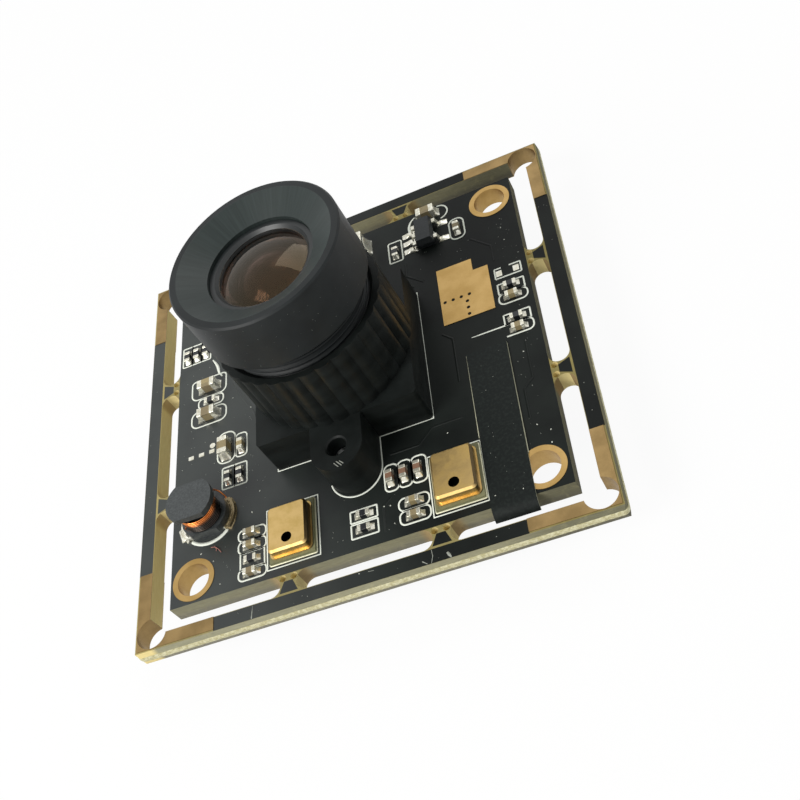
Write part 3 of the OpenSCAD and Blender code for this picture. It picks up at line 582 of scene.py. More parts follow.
tin = Finish("bright_tin", "DAD8C8", 0.24, 0.65)
frost = tin.clouded((5.0, 4.0, 0.6), ("F2F0E2", "C4C0AC"), (0.35, 0.7),
                    [(None, 0.3, 0.03), ((1.9, 2.0), 0.3, 0.08)])
tin.set("Roughness", tin.band(frost, 0.3, 0.7, (0.16, 0.34)))

block = soft_block("block", (0.035, 0.035, 0.035))
dipped = soft_block("dipped_end", (0.13, 0.09, 0.09), 4)
place_all(block, box_spots(capacitor_boxes, (0.03, 0, 0)), "ceramic_bodies", ceramic, "board",
          "capacitor_ceramic")
place_all(block, box_spots(resistor_boxes, (0.03, 0, 0)), "resistor_chips", film, "board", "resistor_black")
place_all(dipped, across_grow(capacitor_ends, 0.018), "dipped_capacitor_ends", tin, "board", "tin")
place_all(dipped, across_grow(resistor_ends, 0.012), "dipped_resistor_ends", tin, "board", "tin")
for made, nodes in (("ceramic_bodies", ["capacitor_bodies"]), ("resistor_chips", ["resistor_bodies"]),
                    ("dipped_capacitor_ends", ["capacitor_terminals"]),
                    ("dipped_resistor_ends", ["resistor_terminals"])):
    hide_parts(*nodes)


SUNK = 0.002  # solder stands this deep in the board


def solder_mound(name, nx=16, ny=12):
    """Solder at one end of a part, of unit size: x from -1 under the end to 1 at the pad's edge."""
    bm = bmesh.new()
    rows = []
    for sheet in (0, 1):
        for i in range(nx + 1):
            row = []
            for j in range(ny + 1):
                x, y = -1.0 + 2.0 * i / nx, -1.0 + 2.0 * j / ny
                w = 1.0 - 0.16 * max(0.0, x) ** 3
                edge = max(0.0, 1 - abs(y) ** 3.2) * max(0.0, 1 - abs(x) ** 6)
                climb = 0.78 * (1 - x) ** 1.7 if x > 0 else 0.78 * (1 - 0.4 * x * x)
                z = 0.0 if sheet else edge * (climb + 0.16 * (1 - x * x) + 0.06)
                row.append(bm.verts.new((x * MM * 0.5, y * w * MM * 0.5, z * MM)))
            rows.append(row)
    top, low = rows[:nx + 1], rows[nx + 1:]
    for i in range(nx):
        for j in range(ny):
            bm.faces.new((top[i][j], top[i + 1][j], top[i + 1][j + 1], top[i][j + 1]))
            bm.faces.new((low[i][j], low[i][j + 1], low[i + 1][j + 1], low[i + 1][j]))
    bmesh.ops.remove_doubles(bm, verts=bm.verts, dist=1e-7)
    return from_bmesh(bm, name)


def joints_of(bodies, ends, reach):
    """A solder spot for each end: at the end's outer face, turned outwards."""
    out = []
    for lo, hi in bodies:
        middle = (lo + hi) / 2
        for elo, ehi in ends:
            e = (elo + ehi) / 2
            gap = np.maximum(np.maximum(elo - hi, lo - ehi), 0)
            if np.linalg.norm(gap) > 0.02 or abs(e[2] - middle[2]) > 0.3:
                continue
            way = e - middle
            axis = 0 if abs(way[0]) > abs(way[1]) else 1
            sign = 1 if way[axis] > 0 else -1
            width, height = (ehi - elo)[1 - axis], (ehi - elo)[2]
            spot = e.copy()
            spot[axis] = ehi[axis] if sign > 0 else elo[axis]
            above = e[2] > 0
            spot[2] = TOP - SUNK if above else SUNK
            turn = math.atan2(sign if axis else 0, 0 if axis else sign)
            # The extents are the fillet's length, twice the reach and more on a tall end, its
            # width, a little over the end's, and its height.
            facing = (0 if above else math.pi, 0, turn)
            out.append((tuple(spot), facing, (2 * reach * (0.8 + 0.5 * height), width * 1.24, 0.8 * height)))
    return out


mound = solder_mound("mound")
fillets = joints_of(capacitor_boxes, capacitor_ends, 0.26) + joints_of(resistor_boxes, resistor_ends, 0.28)
solder = Finish("reflowed_solder", "E2E0D0", 0.22, 0.6)
mm = solder.place()
skin = solder.grain(mm, 3.2, 4.0, 0.6)
# The inductor's right-hand pad is coloured dull tan.
dull = solder.math("MULTIPLY", solder.math("COMPARE", solder.split(mm, 0), -10.6, 0.6),
                   solder.math("COMPARE", solder.split(mm, 1), -9.0, 1.7))
solder.set("Base Color", solder.blend(dull, solder.blend(
    solder.band(skin, 0.35, 0.7), paint("F4F2E6"), paint("CFCBB6")), paint("8F7F5E")))
solder.set("Roughness", solder.band(skin, 0.3, 0.7, (0.12, 0.3)))
solder.relief(skin, 0.35, 0.05)
place_all(mound, fillets, "solder_fillets", solder, "board", "tin")
dress(solder, "tinned_pads")

# ------------------------------------------------------------------ voltage regulator
# A five-lead plastic package: three tinned leads on its left, two on its right, each
# in a fillet on its own long pad.
lead_boxes = lumps("regulator_leads")
lead_feet = []
REGULATOR_X = 8.1
for lo, hi in lead_boxes:
    left = (lo + hi)[0] / 2 < REGULATOR_X
    foot_x = lo[0] if left else hi[0]
    lead_feet.append(((foot_x, (lo + hi)[1] / 2, TOP - SUNK), (0, 0, math.pi if left else 0),
                      (1.35 if left else 1.0, 0.66, 0.2)))
place_all(mound, lead_feet, "regulator_solder", solder, "board", "tin")
epoxy = Finish("moulded_epoxy", "202423", 0.5, Specular_IOR_Level=0.3)
epoxy.clouded((8.0, 4.0, 0.65), ("1F2325", "2D3133"), (0.4, 0.7), [(None, 0.35, 0.03)])
dress(epoxy, "regulator_body", "usb_controller", "flash_memory")
dress(tin, "regulator_leads", "controller_leads", "flash_leads", "socket_pins", "socket_anchors")
under_feet = []
for node in ("controller_leads", "flash_leads"):
    for lo, hi in lumps(node):
        middle = (lo + hi) / 2
        span = hi - lo
        axis = 0 if span[0] > span[1] else 1
        centre = np.array([0.0, 0.0]) if node == "controller_leads" else np.array([11.0, -3.2])
        sign = 1 if middle[axis] > centre[axis] else -1
        spot = middle.copy()
        spot[axis] = hi[axis] if sign > 0 else lo[axis]
        spot[2] = SUNK
        under_feet.append((tuple(spot), (math.pi, 0, math.atan2(sign if axis else 0, 0 if axis else sign)),
                           (0.7, span[1 - axis] * 1.3, 0.14)))
place_all(mound, under_feet, "underside_solder", solder, "board", "tin")

# ------------------------------------------------------------------ microphones
# Two silicon microphones: a gold-plated brass can with a sound port, soldered with a
# cream flux line on a small green laminate base.
MIC_PORTS = ((-5.48, -13.67), (7.8, -13.67))
PORT_R = 0.425


def in_port(finish, where):
    """1 inside the sound ports, whose depth is painted black as shade."""
    x, y = finish.split(where, 0), finish.split(where, 1)
    inside = 0.0
    for port_x, port_y in MIC_PORTS:
        away = finish.node("ShaderNodeVectorMath", {0: finish.join(x, y, 0.0), 1: (port_x, port_y, 0.0)},
                           out="Value", operation="DISTANCE")
        inside = finish.math("MAXIMUM", inside, finish.math("LESS_THAN", away, PORT_R))
    return inside


can = Finish("gold_plated_can", "CDAF70", 0.34, 1.0)
mm = can.place()
haze = can.grain(mm, 0.9, 4.0, 0.6)
# Painted shade: the can is painted black, without metal or gloss, inside its sound port, for the depth of the
# hole.
port_shade = in_port(can, mm)
facing = can.node("ShaderNodeTexCoord", out="Normal")
# Painted shade: the can's sides that face +X are painted dark brown, away from the lamp.
painted_shade_on_right = can.math("MULTIPLY", can.band(can.split(facing, 0), 0.25, 0.7), 0.94)
brass = can.blend(can.band(haze, 0.35, 0.7), paint("D3B477"), paint("C4A665"))
can.set("Base Color", can.blend(port_shade, can.blend(painted_shade_on_right, brass, paint("4A3F2E")), paint("060707")))
can.set("Metallic", can.math("SUBTRACT", 1.0, port_shade))
can.set("Specular IOR Level", can.band(port_shade, 0.0, 1.0, (0.5, 0.0)))
can.set("Roughness", can.band(haze, 0.3, 0.7, (0.34, 0.46)))
can.relief(can.grain(mm, 5.0, 3.0), 0.14, 0.03)
dress(can, "microphone_cans")
base_green = Finish("microphone_laminate", "6E6F4C", 0.6)
mm = base_green.place()
weave = base_green.grain(mm, 5.0, 4.0, 0.6)
# Painted shade: the laminate is painted black inside the sound ports, for the depth of the hole.
base_green.set("Base Color", base_green.blend(in_port(base_green, mm), base_green.blend(
    weave, paint("55573C"), paint("8D8B66")), paint("060707")))
base_green.relief(weave, 0.4, 0.03)
dress(base_green, "microphone_bases")
mic_lines = []
for lo, hi in lumps("microphone_bases"):
    z = TOP + 0.02
    mic_lines.append(box_path(lo[0] - 0.03, lo[1] - 0.03, hi[0] + 0.03, hi[1] + 0.03, 0.08, z))
flux = Finish("flux_and_solder_line", "D9D6B8", 0.42, 0.3)
flux.clouded((3.0, 4.0, 0.65), ("B9B58C", "F0EED8"), relief=[(None, 0.5, 0.04)])
ribbon.make(strokes("microphone_solder_line", mic_lines), "microphone_solder_line", flux, "board", "tin",
            Width=0.16 * MM, Thickness=0.07 * MM)

# ------------------------------------------------------------------ inductor
# A drum of sintered ferrite with flats on its upper flange, wound with enamelled
# copper wire between the flanges and soldered to two curved pads.
ferrite = Finish("sintered_ferrite", "3A3E3F", 0.55, Specular_IOR_Level=0.5)
ferrite.clouded((7.0, 4.0, 0.7), ("303435", "474B4C"), (0.35, 0.7), [(None, 0.4, 0.03)])
ferrite.set("Roughness", ferrite.band(ferrite.split(ferrite.place(), 2), 2.6, 3.6, (0.3, 0.55)))
dress(ferrite, "inductor_core")
winding = Jig("wound_wire", Turns=7.9, Radius=1.52 * MM, Rise=1.32 * MM, Wire=0.085 * MM)
turns = winding.node("GeometryNodeCurveSpiral", {
    "Resolution": 48, "Rotations": winding.size("Turns"), "Start Radius": winding.size("Radius"),
    "End Radius": winding.size("Radius"), "Height": winding.size("Rise")})
wire = winding.node("GeometryNodeCurvePrimitiveCircle", {"Resolution": 10, "Radius": winding.size("Wire")},
                    mode="RADIUS")
coil = winding.node("GeometryNodeCurveToMesh", {"Curve": turns, "Profile Curve": wire, "Fill Caps": True})
coil = winding.node("GeometryNodeSetShadeSmooth", {"Geometry": coil})
lo, hi = (Vector(c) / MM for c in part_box("inductor_winding"))
coil_at = ((lo.x + hi.x) / 2, (lo.y + hi.y) / 2, lo.z + 0.085)
winding.close(winding.node("GeometryNodeTransform", {
    "Geometry": coil, "Translation": [c * MM for c in coil_at]}))
copper = Finish("enamelled_copper", "B4622F", 0.26, 1.0)
mm = copper.place()
burn = copper.grain(mm, 1.3, 3.0)
# Painted shade: the wire is painted dark brown-grey low in the groove under the flange, and is bright copper
# higher up where the lamp reaches it.
height = copper.band(copper.split(mm, 2), 3.2, 3.7)
bright_copper_tone = copper.blend(copper.band(burn, 0.4, 0.6), paint("C9743A"), paint("E08A4C"))
copper.set("Base Color", copper.blend(height, paint("3B3531"), bright_copper_tone))
copper.relief(copper.grain(mm, 5.0, 2.0), 0.15, 0.03)
wound = winding.make(strokes("winding_seed", [([(0, 0, 0)], False)]), "wound_wire", copper, "board",
                     "copper_wire")
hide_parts("inductor_winding")
ribbon_round = Jig("round_wire", Wire=0.07 * MM)
line = ribbon_round.node("GeometryNodeMeshToCurve", {"Mesh": ribbon_round.entry.outputs[0]})
girth = ribbon_round.node("GeometryNodeInputNamedAttribute", {"Name": "girth"}, data_type="FLOAT")
thin = ribbon_round.node("GeometryNodeCurvePrimitiveCircle", {
    "Resolution": 8, "Radius": ribbon_round.size("Wire")}, mode="RADIUS")
tube = ribbon_round.node("GeometryNodeCurveToMesh", {"Curve": line, "Profile Curve": thin, "Scale": girth,
                                                      "Fill Caps": True})
ribbon_round.close(ribbon_round.node("GeometryNodeSetShadeSmooth", {"Geometry": tube}))


def smooth_path(points, steps=8):
    """A smooth line through a few points in mm."""
    p = [Vector(q) for q in points]
    p = [2 * p[0] - p[1]] + p + [2 * p[-1] - p[-2]]
    out = []
    for i in range(1, len(p) - 2):
        for k in range(steps):
            t = k / steps
            out.append(0.5 * (2 * p[i] + (p[i + 1] - p[i - 1]) * t
                              + (2 * p[i - 1] - 5 * p[i] + 4 * p[i + 1] - p[i + 2]) * t * t
                              + (3 * p[i] - p[i - 1] - 3 * p[i + 1] + p[i + 2]) * t ** 3))
    return [tuple(q) for q in out + [p[-2]]]


bright_wire = Finish("bright_copper_lead", "D07B45", 0.3, 1.0)
bright_wire.clouded((2.0,), ("B5632F", "E59058"), relief=[((6.0,), 0.2, 0.02)])
leads = [smooth_path([(-11.95, -7.35, 3.1), (-11.6, -7.1, 2.5), (-11.25, -7.35, 1.9), (-11.0, -7.85, 1.72)]),
         smooth_path([(-13.9, -9.9, 2.95), (-14.3, -9.8, 2.5), (-14.65, -9.5, 1.95), (-14.8, -9.25, 1.72)])]
ribbon_round.make(strokes("lead_ends", [(p, False) for p in leads]), "inductor_lead_ends", bright_wire,
                  "board", "copper_wire")
dress(solder, "inductor_terminals")
collars = []
DRUM = (-12.7, -9.03)
COLLAR_R = 2.14
for side, spread in ((1, 0.9), (-1, 1.2)):
    for a in np.linspace(-0.5, 0.5, 5):
        t = (0 if side > 0 else math.pi) + a
        collars.append(((DRUM[0] + COLLAR_R * math.cos(t), DRUM[1] + COLLAR_R * math.sin(t), TOP - SUNK),
                        (0, 0, t), (0.62, 0.9, 0.42 * spread)))
collars.append(((-14.72, -9.55, TOP - SUNK), (0, 0, math.pi + 0.3), (1.25, 1.5, 0.52)))
place_all(mound, collars, "inductor_solder", solder, "board", "tin")

# ------------------------------------------------------------------ blank strip
# A strip of matt black film laid over the right-hand side of the board. Its cut
# edges show the pale adhesive layer, and its free end hangs into the slot.
strip = Finish("matt_black_film", "171B1A", 0.5, Specular_IOR_Level=0.12)
mm = strip.place()
cut = strip.math("LESS_THAN", strip.math("ABSOLUTE", strip.split(
    strip.node("ShaderNodeTexCoord", out="Normal"), 0)), 0.5)
lint = strip.grain(mm, 4.0, 4.0, 0.6)
film_tone = strip.blend(strip.band(lint, 0.45, 0.65), paint("151918"), paint("1E2321"))
strip.set("Base Color", strip.blend(cut, paint("B9B9A2"), film_tone))
strip.relief(strip.grain(mm, 0.5, 2.0), 0.3, 0.08)
strip.relief(lint, 0.15, 0.02)
dress(strip, "blank_label")
sx0, sx1 = (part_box("blank_label")[k][0] / MM for k in (0, 1))
cut_edge = Finish("cut_adhesive_edge", "C9C7AE", 0.5)
cut_edge.clouded((2.2,), ("8E8D78", "D8D6BC"))
edge_runs = []
for x, low, high, wide in ((sx0 - 0.02, -9.9, -1.95, 1.25), (sx1 + 0.02, -12.5, -2.0, 1.1)):
    edge_runs.append(([(x, y, TOP + 0.1) for y in np.linspace(low, high, 12)], False,
                      list(np.linspace(wide, 0.35, 12))))
ribbon.make(strokes("strip_edges", edge_runs), "strip_cut_edges", cut_edge, "board", "label",
            Width=0.075 * MM, Thickness=0.05 * MM)

# ------------------------------------------------------------------ lens holder
# One moulding of glass-filled nylon: a square foot with two screw ears and a ribbed
# round tower that carries the lens thread. Two screws hold it from behind.
nylon = Finish("moulded_nylon", "161A19", 0.46, Specular_IOR_Level=0.16)
mm = nylon.place()
flow = nylon.grain(nylon.place(scale=(300, 300, 1100)), 1.0, 4.0, 0.6)
grit = nylon.grain(mm, 9.0, 3.0, 0.65)
nylon.set("Base Color", nylon.blend(nylon.band(flow, 0.35, 0.7), paint("111413"), paint("1B1F1E")))
nylon.set("Roughness", nylon.band(flow, 0.3, 0.7, (0.4, 0.54)))
nylon.relief(grit, 0.3, 0.025)
nylon.relief(flow, 0.15, 0.06)
dress(nylon, "lens_holder")
steel = Finish("zinc_plated_steel", "9A9C9C", 0.34, 1.0)
steel.clouded((4.0, 4.0, 0.6), ("8A8C8C", "B4B6B4"), relief=[(None, 0.25, 0.03)])
dress(steel, "holder_screws")

# ------------------------------------------------------------------ sensor and filter
# The image sensor under its cover glass, and the pink infra-red filter bonded over
# the window in the holder's floor.
sensor = Finish("sensor_die_and_ceramic", "35393A", 0.3)
mm = sensor.place()
pitch = sensor.node("ShaderNodeTexBrick", {
    "Vector": mm, "Color1": paint("27303A"), "Color2": paint("2E3A46"), "Mortar": paint("1A1F24"),
    "Scale": 3.0, "Mortar Size": 0.03})
sensor.set("Base Color", pitch)
sensor.relief(sensor.grain(mm, 6.0), 0.1, 0.02)
dress(sensor, "image_sensor")
cover = Finish("cover_glass", "9DB0B8", 0.04, Transmission_Weight=0.85, IOR=1.5)
mm = cover.place()
cover.set("Roughness", cover.band(cover.grain(mm, 2.0), 0.3, 0.7, (0.03, 0.08)))
dress(cover, "sensor_glass")
pink = Finish("infrared_filter_coat", "8C3F52", 0.05, Transmission_Weight=0.7, IOR=1.5)
pink.clouded((0.3,), ("8C3F52", "5E4A86"))
dress(pink, "ir_cut_filter")

# ------------------------------------------------------------------ lens barrel
# Turned and black-anodised aluminium: a fine screw thread of 0.5 mm pitch under a
# plain hood, whose mouth is a finely turned cone.
anodised = Finish("black_anodised", "1A1E1F", 0.48, 0.0, Specular_IOR_Level=0.24)
mm = anodised.place()
bx, by, bz = (anodised.split(mm, a) for a in range(3))
radius = anodised.math("SQRT", anodised.math("ADD", anodised.math("MULTIPLY", bx, bx),
                                             anodised.math("MULTIPLY", by, by)))
angle = anodised.math("ARCTAN2", by, bx)
in_cone = anodised.math("MULTIPLY", anodised.math("LESS_THAN", radius, 6.22),
                        anodised.math("GREATER_THAN", bz, 15.2))
turned = anodised.grain(anodised.join(anodised.math("MULTIPLY", anodised.math("COSINE", angle), 26.0),
                                      anodised.math("MULTIPLY", anodised.math("SINE", angle), 26.0),
                                      anodised.math("MULTIPLY", radius, 0.25)), 1.0, 3.0, 0.6)
matt = anodised.grain(mm, 9.0, 3.0, 0.6)
tone = anodised.grain(mm, 0.25, 3.0)
side = anodised.blend(anodised.band(tone, 0.35, 0.65), paint("141819"), paint("1E2223"))
cone = anodised.blend(anodised.band(turned, 0.2, 0.85), paint("272E2D"), paint("313938"))
anodised.set("Base Color", anodised.blend(in_cone, side, cone))
anodised.set("Roughness", anodised.blend(in_cone, (0.48, 0.48, 0.48, 1), (0.38, 0.38, 0.38, 1)))
anodised.relief(matt, 0.2, 0.02)
anodised.relief(anodised.math("MULTIPLY", in_cone, turned), 0.06, 0.02)
dress(anodised, "lens_barrel")
# One fine ridge winds up the shank over its turned rings and stays clear of the holder's bore.
THREAD_PITCH = 0.5
RIDGE = 0.09
BORE_R = 6.0
TURN_STEPS = 48
ridge_r = BORE_R - 0.01 - RIDGE
thread_top = 12.5
thread_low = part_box("lens_holder")[1][2] / MM - 1.1
ridge_line = []
for k in range(int((thread_top - thread_low) / THREAD_PITCH * TURN_STEPS)):
    a = 2 * math.pi * k / TURN_STEPS
    z = thread_low + THREAD_PITCH * k / TURN_STEPS
    ridge_line.append((ridge_r * math.cos(a), ridge_r * math.sin(a), z))
ribbon_round.make(strokes("ridge_line", [(ridge_line, False)]), "barrel_thread", anodised, "barrel", "barrel",
                  Wire=RIDGE * MM)
ring_black = Finish("ring_black", "15191A", 0.4)
ring_black.clouded((6.0, 3.0), ("121516", "1E2324"), relief=[(None, 0.2, 0.02)])
dress(ring_black, "front_ring", "aperture_ring", "rear_ring")

# ------------------------------------------------------------------ lens elements
# Three coated glass elements: the domed front one, and two behind it on either side
# of the stop. Their coatings tint what they reflect amber and violet.
front = Finish("coated_front_glass", "7C655F", 0.01, Transmission_Weight=1.0, IOR=1.52)
mm = front.place()
smear = front.grain(mm, 0.9, 4.0, 0.6)
front.set("Roughness", front.band(smear, 0.35, 0.8, (0.0, 0.01)))
front.set("Specular Tint", paint("F2D9B0"))
dress(front, "front_lens")
inner = Finish("coated_inner_glass", "231719", 0.06, IOR=1.6)
inner.clouded((0.4, 2.0), ("1B1214", "2E1D1C"))
inner.set("Specular Tint", paint("FFB468"))
dress(inner, "middle_lens", "rear_lens")

# ------------------------------------------------------------------ cable side
# On the underside a metal-lidded crystal and a moulded nylon socket for the cable.
crystal = Finish("crystal_ceramic", "8A7D6A", 0.55)
crystal.clouded((5.0, 4.0), ("776B59", "9C8F7B"), relief=[((7.0, 3.0), 0.3, 0.03)])
dress(crystal, "crystal_base")
lid = Finish("brushed_lid", "B4B6B4", 0.3, 1.0)
streak = lid.grain(lid.place(scale=(300, 9000, 1000)), 1.0, 3.0)
lid.set("Base Color", lid.blend(streak, paint("A3A5A3"), paint("C6C8C6")))
lid.set("Roughness", lid.band(streak, 0.3, 0.7, (0.24, 0.4)))
dress(lid, "crystal_lid")
cream_nylon = Finish("cream_nylon", "D8D2BD", 0.5)
cream_nylon.clouded((1.2, 4.0), ("CFC8B0", "E2DCC8"), relief=[((8.0, 3.0), 0.2, 0.02)])
dress(cream_nylon, "cable_socket")

# ------------------------------------------------------------------ dust and scratches
# The module has been handled: lint and pale dust lie on the mask, the film and the lens hood, a reddish hair
# by the inductor, and a few scratches cut the frame's mask.
settled = Jig("settled_dust", Piece=bpy.types.Object, Density=1.0e6, Seed=7)
spots = settled.node("GeometryNodeDistributePointsOnFaces", {
    "Mesh": settled.entry.outputs[0], "Density": settled.size("Density"), "Seed": settled.size("Seed")},
    distribute_method="RANDOM")
turn = settled.node("FunctionNodeRandomValue", {0: (0, 0, 0), 1: (0.4, 0.4, 6.28), 8: 3},
                    data_type="FLOAT_VECTOR")
grow = settled.node("FunctionNodeRandomValue", {0: (0.4, 0.3, 0.4), 1: (1.5, 1.1, 1.0), 8: 5},
                    data_type="FLOAT_VECTOR")
fleck = settled.node("GeometryNodeObjectInfo", {"Object": settled.size("Piece")}, out="Geometry")
settled.close(settled.node("GeometryNodeInstanceOnPoints", {
    "Points": spots, "Instance": fleck, "Rotation": turn, "Scale": grow}))


def crumb(name, size, seed):
    """One irregular crumb of dust, in mm."""
    bm = bmesh.new()
    bmesh.ops.create_icosphere(bm, subdivisions=1, radius=size * MM)
    for v in bm.verts:
        v.co *= 0.75 + 0.6 * noise.noise(v.co / (size * MM) * 1.7 + Vector((seed, 0, 0)))
        v.co.z = max(v.co.z * 0.5, -0.1 * size * MM)
    return from_bmesh(bm, name, smooth=False)


def patches(name, areas, z):
    """A helper surface of flat rectangles x0, y0, x1, y1 in mm that the dust settles on."""
    verts, faces = [], []
    for x0, y0, x1, y1 in areas:
        n = len(verts)
        verts += [(x * MM, y * MM, z * MM) for x, y in ((x0, y0), (x1, y0), (x1, y1), (x0, y1))]
        faces.append((n, n + 1, n + 2, n + 3))
    return base_of(name, verts, faces=faces)


dust = Finish("pale_dust", "9FA39B", 0.9)
dust.clouded((0.8,), ("6E726C", "B9BCB2"), (0.3, 0.7), [((9.0,), 0.3, 0.02)])
small = crumb("small_crumb", 0.045, 2.0)
for helper, areas, lift, name, slot, density, seed in (
        ("dust_board", [(-15.6, -9.0, -7.2, 7.5), (-11.6, -15.6, -10.4, -9.4), (-2.6, -15.6, -0.9, -8.0),
                        (1.7, -15.6, 3.0, -12.2), (7.0, 8.4, 12.0, 11.0), (13.4, -11.8, 15.6, 12.0)],
         0.012, "board_dust", "board", 0.9e6, 11),
        ("dust_film", [(10.1, -15.9, 13.0, -2.1)], 0.178, "film_dust", "label", 0.5e6, 5),
        ("dust_rail", [(-12.0, -18.8, 12.0, -17.9), (-18.8, -12.0, -17.9, 12.0), (17.9, -12.0, 18.8, 12.0)],
         0.006, "rail_dust", "board", 0.4e6, 17)):
    settled.make(patches(helper, areas, TOP + lift), name, dust, "board", slot,
                 Piece=small, Density=density, Seed=seed)
bright = Finish("bright_flecks", "DADCD0", 0.7)
bright.clouded((1.4,), ("B5B8AC", "F0F1E6"))
large = crumb("large_crumb", 0.11, 5.0)
flecks = [(-12.9, -6.25), (-8.25, -7.85), (-12.3, -12.9), (-13.4, -11.9), (-8.95, -9.6), (-11.7, -15.1),
          (2.45, -13.1), (2.65, -14.7), (7.5, -8.4), (1.95, -13.0), (-14.2, -5.4), (-12.55, -0.3),
          (14.6, 8.9), (14.5, 10.4), (14.2, -10.3), (15.1, -11.1), (15.0, -12.2), (3.3, 10.7),
          (3.5, 8.4), (-9.0, 0.9), (-10.7, 2.6), (-0.4, -17.9), (10.35, -15.2), (12.4, -15.35),
          (14.3, -3.3), (6.9, -14.8)]
spots = []
for k, (x, y) in enumerate(flecks):
    on_film = 9.9 < x < 13.2 and y < -1.9
    s = 0.55 + 0.55 * abs(noise.noise(Vector((k * 1.7, 0.3, 0))))
    spots.append(((x, y, TOP + (0.185 if on_film else 0.01)), (0, 0, k * 1.3), (s * 1.3, s, s * 0.7)))
place_all(large, spots, "bright_flecks", bright, "board", "label")

scuffed = Finish("scuffed_mask", "8E918A", 0.8)
scuffed.clouded((5.0,), ("555A57", "C2C4B8"))
scratches = [([(x, y, TOP + 0.004) for x, y in points], False, girths) for points, girths in (
    (((-9.05, -18.85), (-9.0, -18.3), (-8.95, -17.8)), [0.9, 0.7, 0.2]),
    (((6.28, -18.35), (6.42, -18.6), (6.55, -18.85)), [1.6, 2.2, 0.8]),
    (((5.15, -17.8), (5.2, -18.3), (5.05, -18.85)), [0.4, 0.5, 0.3]),
    (((4.4, -18.5), (4.75, -18.8)), [0.8, 0.5]),
    (((-12.3, 8.9), (-12.0, 8.4)), [0.4, 0.3]),
    (((0.3, -17.95), (0.75, -18.0)), [0.4, 0.3]))]
ribbon.make(strokes("scratches", scratches), "mask_scratches", scuffed, "board", "board",
            Width=0.1 * MM, Thickness=0.014 * MM)
hair = Finish("reddish_hair", "A2695F", 0.6)
hair.clouded((3.0,), ("8A5550", "C58A7C"))
hairs = [smooth_path([(-12.5, -11.62, 1.64), (-12.15, -11.75, 1.7), (-11.85, -12.0, 1.7),
                      (-11.6, -12.35, 1.64)]),
         smooth_path([(-12.2, -11.62, 1.65), (-12.0, -11.95, 1.68), (-12.05, -12.1, 1.64)])]
ribbon_round.make(strokes("hairs", [(p, False) for p in hairs]), "reddish_hair", hair, "board", "copper_wire",
                  Wire=0.03 * MM)
# White marks where the tip of one ear was rubbed, and flecks on the hood.
EAR_H = 3.5
rubs = [(smooth_path([(x, y, TOP + EAR_H + 0.006) for x, y in points]), False) for points in (
    ((-0.25, -10.5), (-0.1, -10.7), (0.1, -10.95)), ((-0.05, -10.4), (0.15, -10.65), (0.35, -10.9)),
    ((0.2, -10.45), (0.35, -10.6), (0.5, -10.78)))]
ribbon.make(strokes("ear_rubs", rubs), "ear_rub_marks", scuffed, "board", "holder",
            Width=0.07 * MM, Thickness=0.014 * MM)
HOOD_R = 6.855
HOOD_SIDE = (12.9, 17.1)
ring_verts, ring_faces = [], []
for k in range(49):
    a = math.radians(-200 + k * 5)
    for z in HOOD_SIDE:
        ring_verts.append((HOOD_R * MM * math.cos(a), HOOD_R * MM * math.sin(a), z * MM))
    if k:
        n = 2 * k
        ring_faces.append((n - 2, n, n + 1, n - 1))
settled.make(base_of("dust_hood", ring_verts, faces=ring_faces), "hood_dust", dust, "barrel", "barrel",
             Piece=crumb("fine_crumb", 0.028, 9.0), Density=0.9e6, Seed=23)

# ------------------------------------------------------------------ light and camera
# A pale floor under the module's lowest point, two soft studio lamps from the front
# left and above, an even white surround, and the camera that looks down on the lens.
low_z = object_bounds()[0][2]
floor_z = low_z - 5e-5
floor = base_of("floor", [(-2, -2, floor_z), (2, -2, floor_z), (2, 2, floor_z), (-2, 2, floor_z)],
                faces=[(0, 1, 2, 3)])


def seen_rays(nodes):
    """1 for what the camera, a mirror finish or glass looks at, 0 for light that falls on a piece."""
    rays = [nodes.node("ShaderNodeLightPath", out=f"Is {kind} Ray")
            for kind in ("Camera", "Glossy", "Transmission")]
    return nodes.math("MAXIMUM", nodes.math("MAXIMUM", rays[0], rays[1]), rays[2])


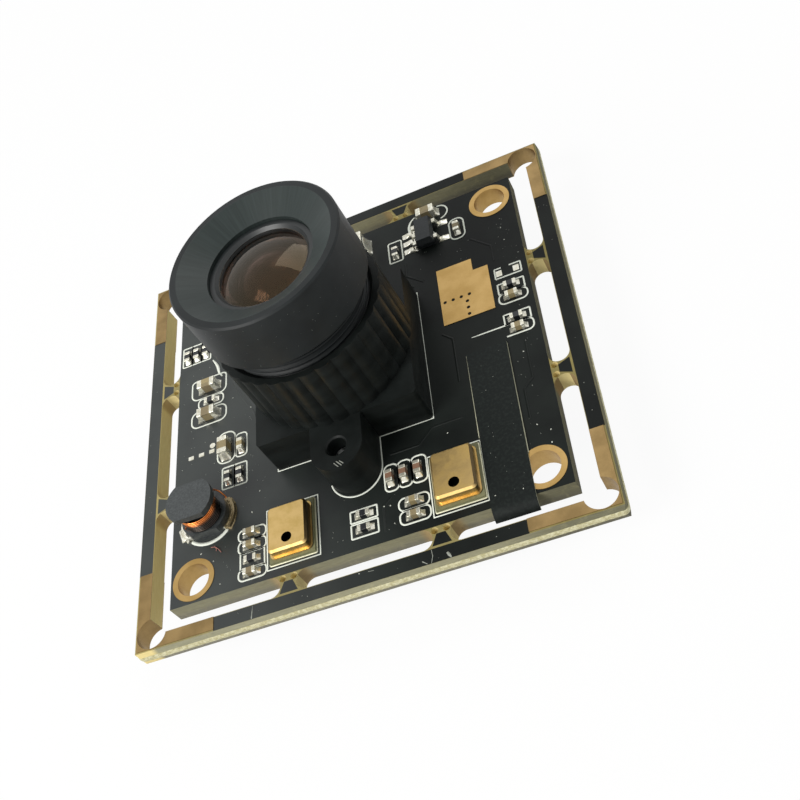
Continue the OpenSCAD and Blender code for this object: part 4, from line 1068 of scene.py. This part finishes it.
def mix_into(output, nodes, share, first, second):
    """Mixes two shaders by share, as what the tree puts out."""
    both = nodes.node("ShaderNodeMixShader", {0: share, 1: first, 2: second})
    nodes.tree.links.new(both, nodes.tree.nodes[output].inputs[0])


paper = bpy.data.materials.new("white_paper")
paper.use_nodes = True
sheet = Nodes(paper.node_tree)
matt_white = sheet.tree.nodes["Principled BSDF"]
matt_white.inputs["Base Color"].default_value = (0.9, 0.9, 0.9, 1)
matt_white.inputs["Roughness"].default_value = 0.9
glow = sheet.node("ShaderNodeEmission", {"Strength": 1.0})
glowing = sheet.math("MULTIPLY", seen_rays(sheet), 0.93)
mix_into("Material Output", sheet, glowing, matt_white.outputs[0], glow)
floor.data.materials.append(paper)

world = bpy.data.worlds.new("studio")
bpy.context.scene.world = world
world.use_nodes = True
surround = Nodes(world.node_tree)
even = surround.tree.nodes["Background"]
even.inputs[0].default_value = (0.96, 1.0, 0.98, 1)
even.inputs[1].default_value = 0.42
white = surround.node("ShaderNodeBackground", {0: (1, 1, 1, 1), 1: 1.0})
mix_into("World Output", surround, seen_rays(surround), even.outputs[0], white)

for name, at, size, watts in (("key", (-0.26, -0.24, 0.34), 0.26, 2.0),
                              ("fill", (0.16, 0.3, 0.4), 0.3, 0.5)):
    lamp = bpy.data.lights.new(name, "AREA")
    lamp.size = size
    lamp.energy = watts
    lamp.color = (1.0, 0.985, 0.96)
    held = bpy.data.objects.new(name, lamp)
    held.location = at
    held.rotation_euler = (Vector((0, 0, 0.004)) - Vector(at)).to_track_quat("-Z", "Y").to_euler()
    bpy.context.scene.collection.objects.link(held)

eye = bpy.data.cameras.new("eye")
eye.sensor_width = 36
eye.lens = 52.9537
eye.clip_start = 0.001
camera = bpy.data.objects.new("eye", eye)
camera.location = (0.02790224, -0.06156254, 0.06725388)
camera.rotation_euler = tuple(math.radians(a) for a in (37.594784, 23.906118, -5.344960))
bpy.context.scene.collection.objects.link(camera)
bpy.context.scene.camera = camera
bpy.context.scene.view_settings.view_transform = "Standard"

for helper in ("block", "dipped_end", "mound", "small_crumb", "large_crumb", "fine_crumb"):
    spare = bpy.data.objects.get(helper)
    if spare is not None:
        bpy.data.objects.remove(spare)
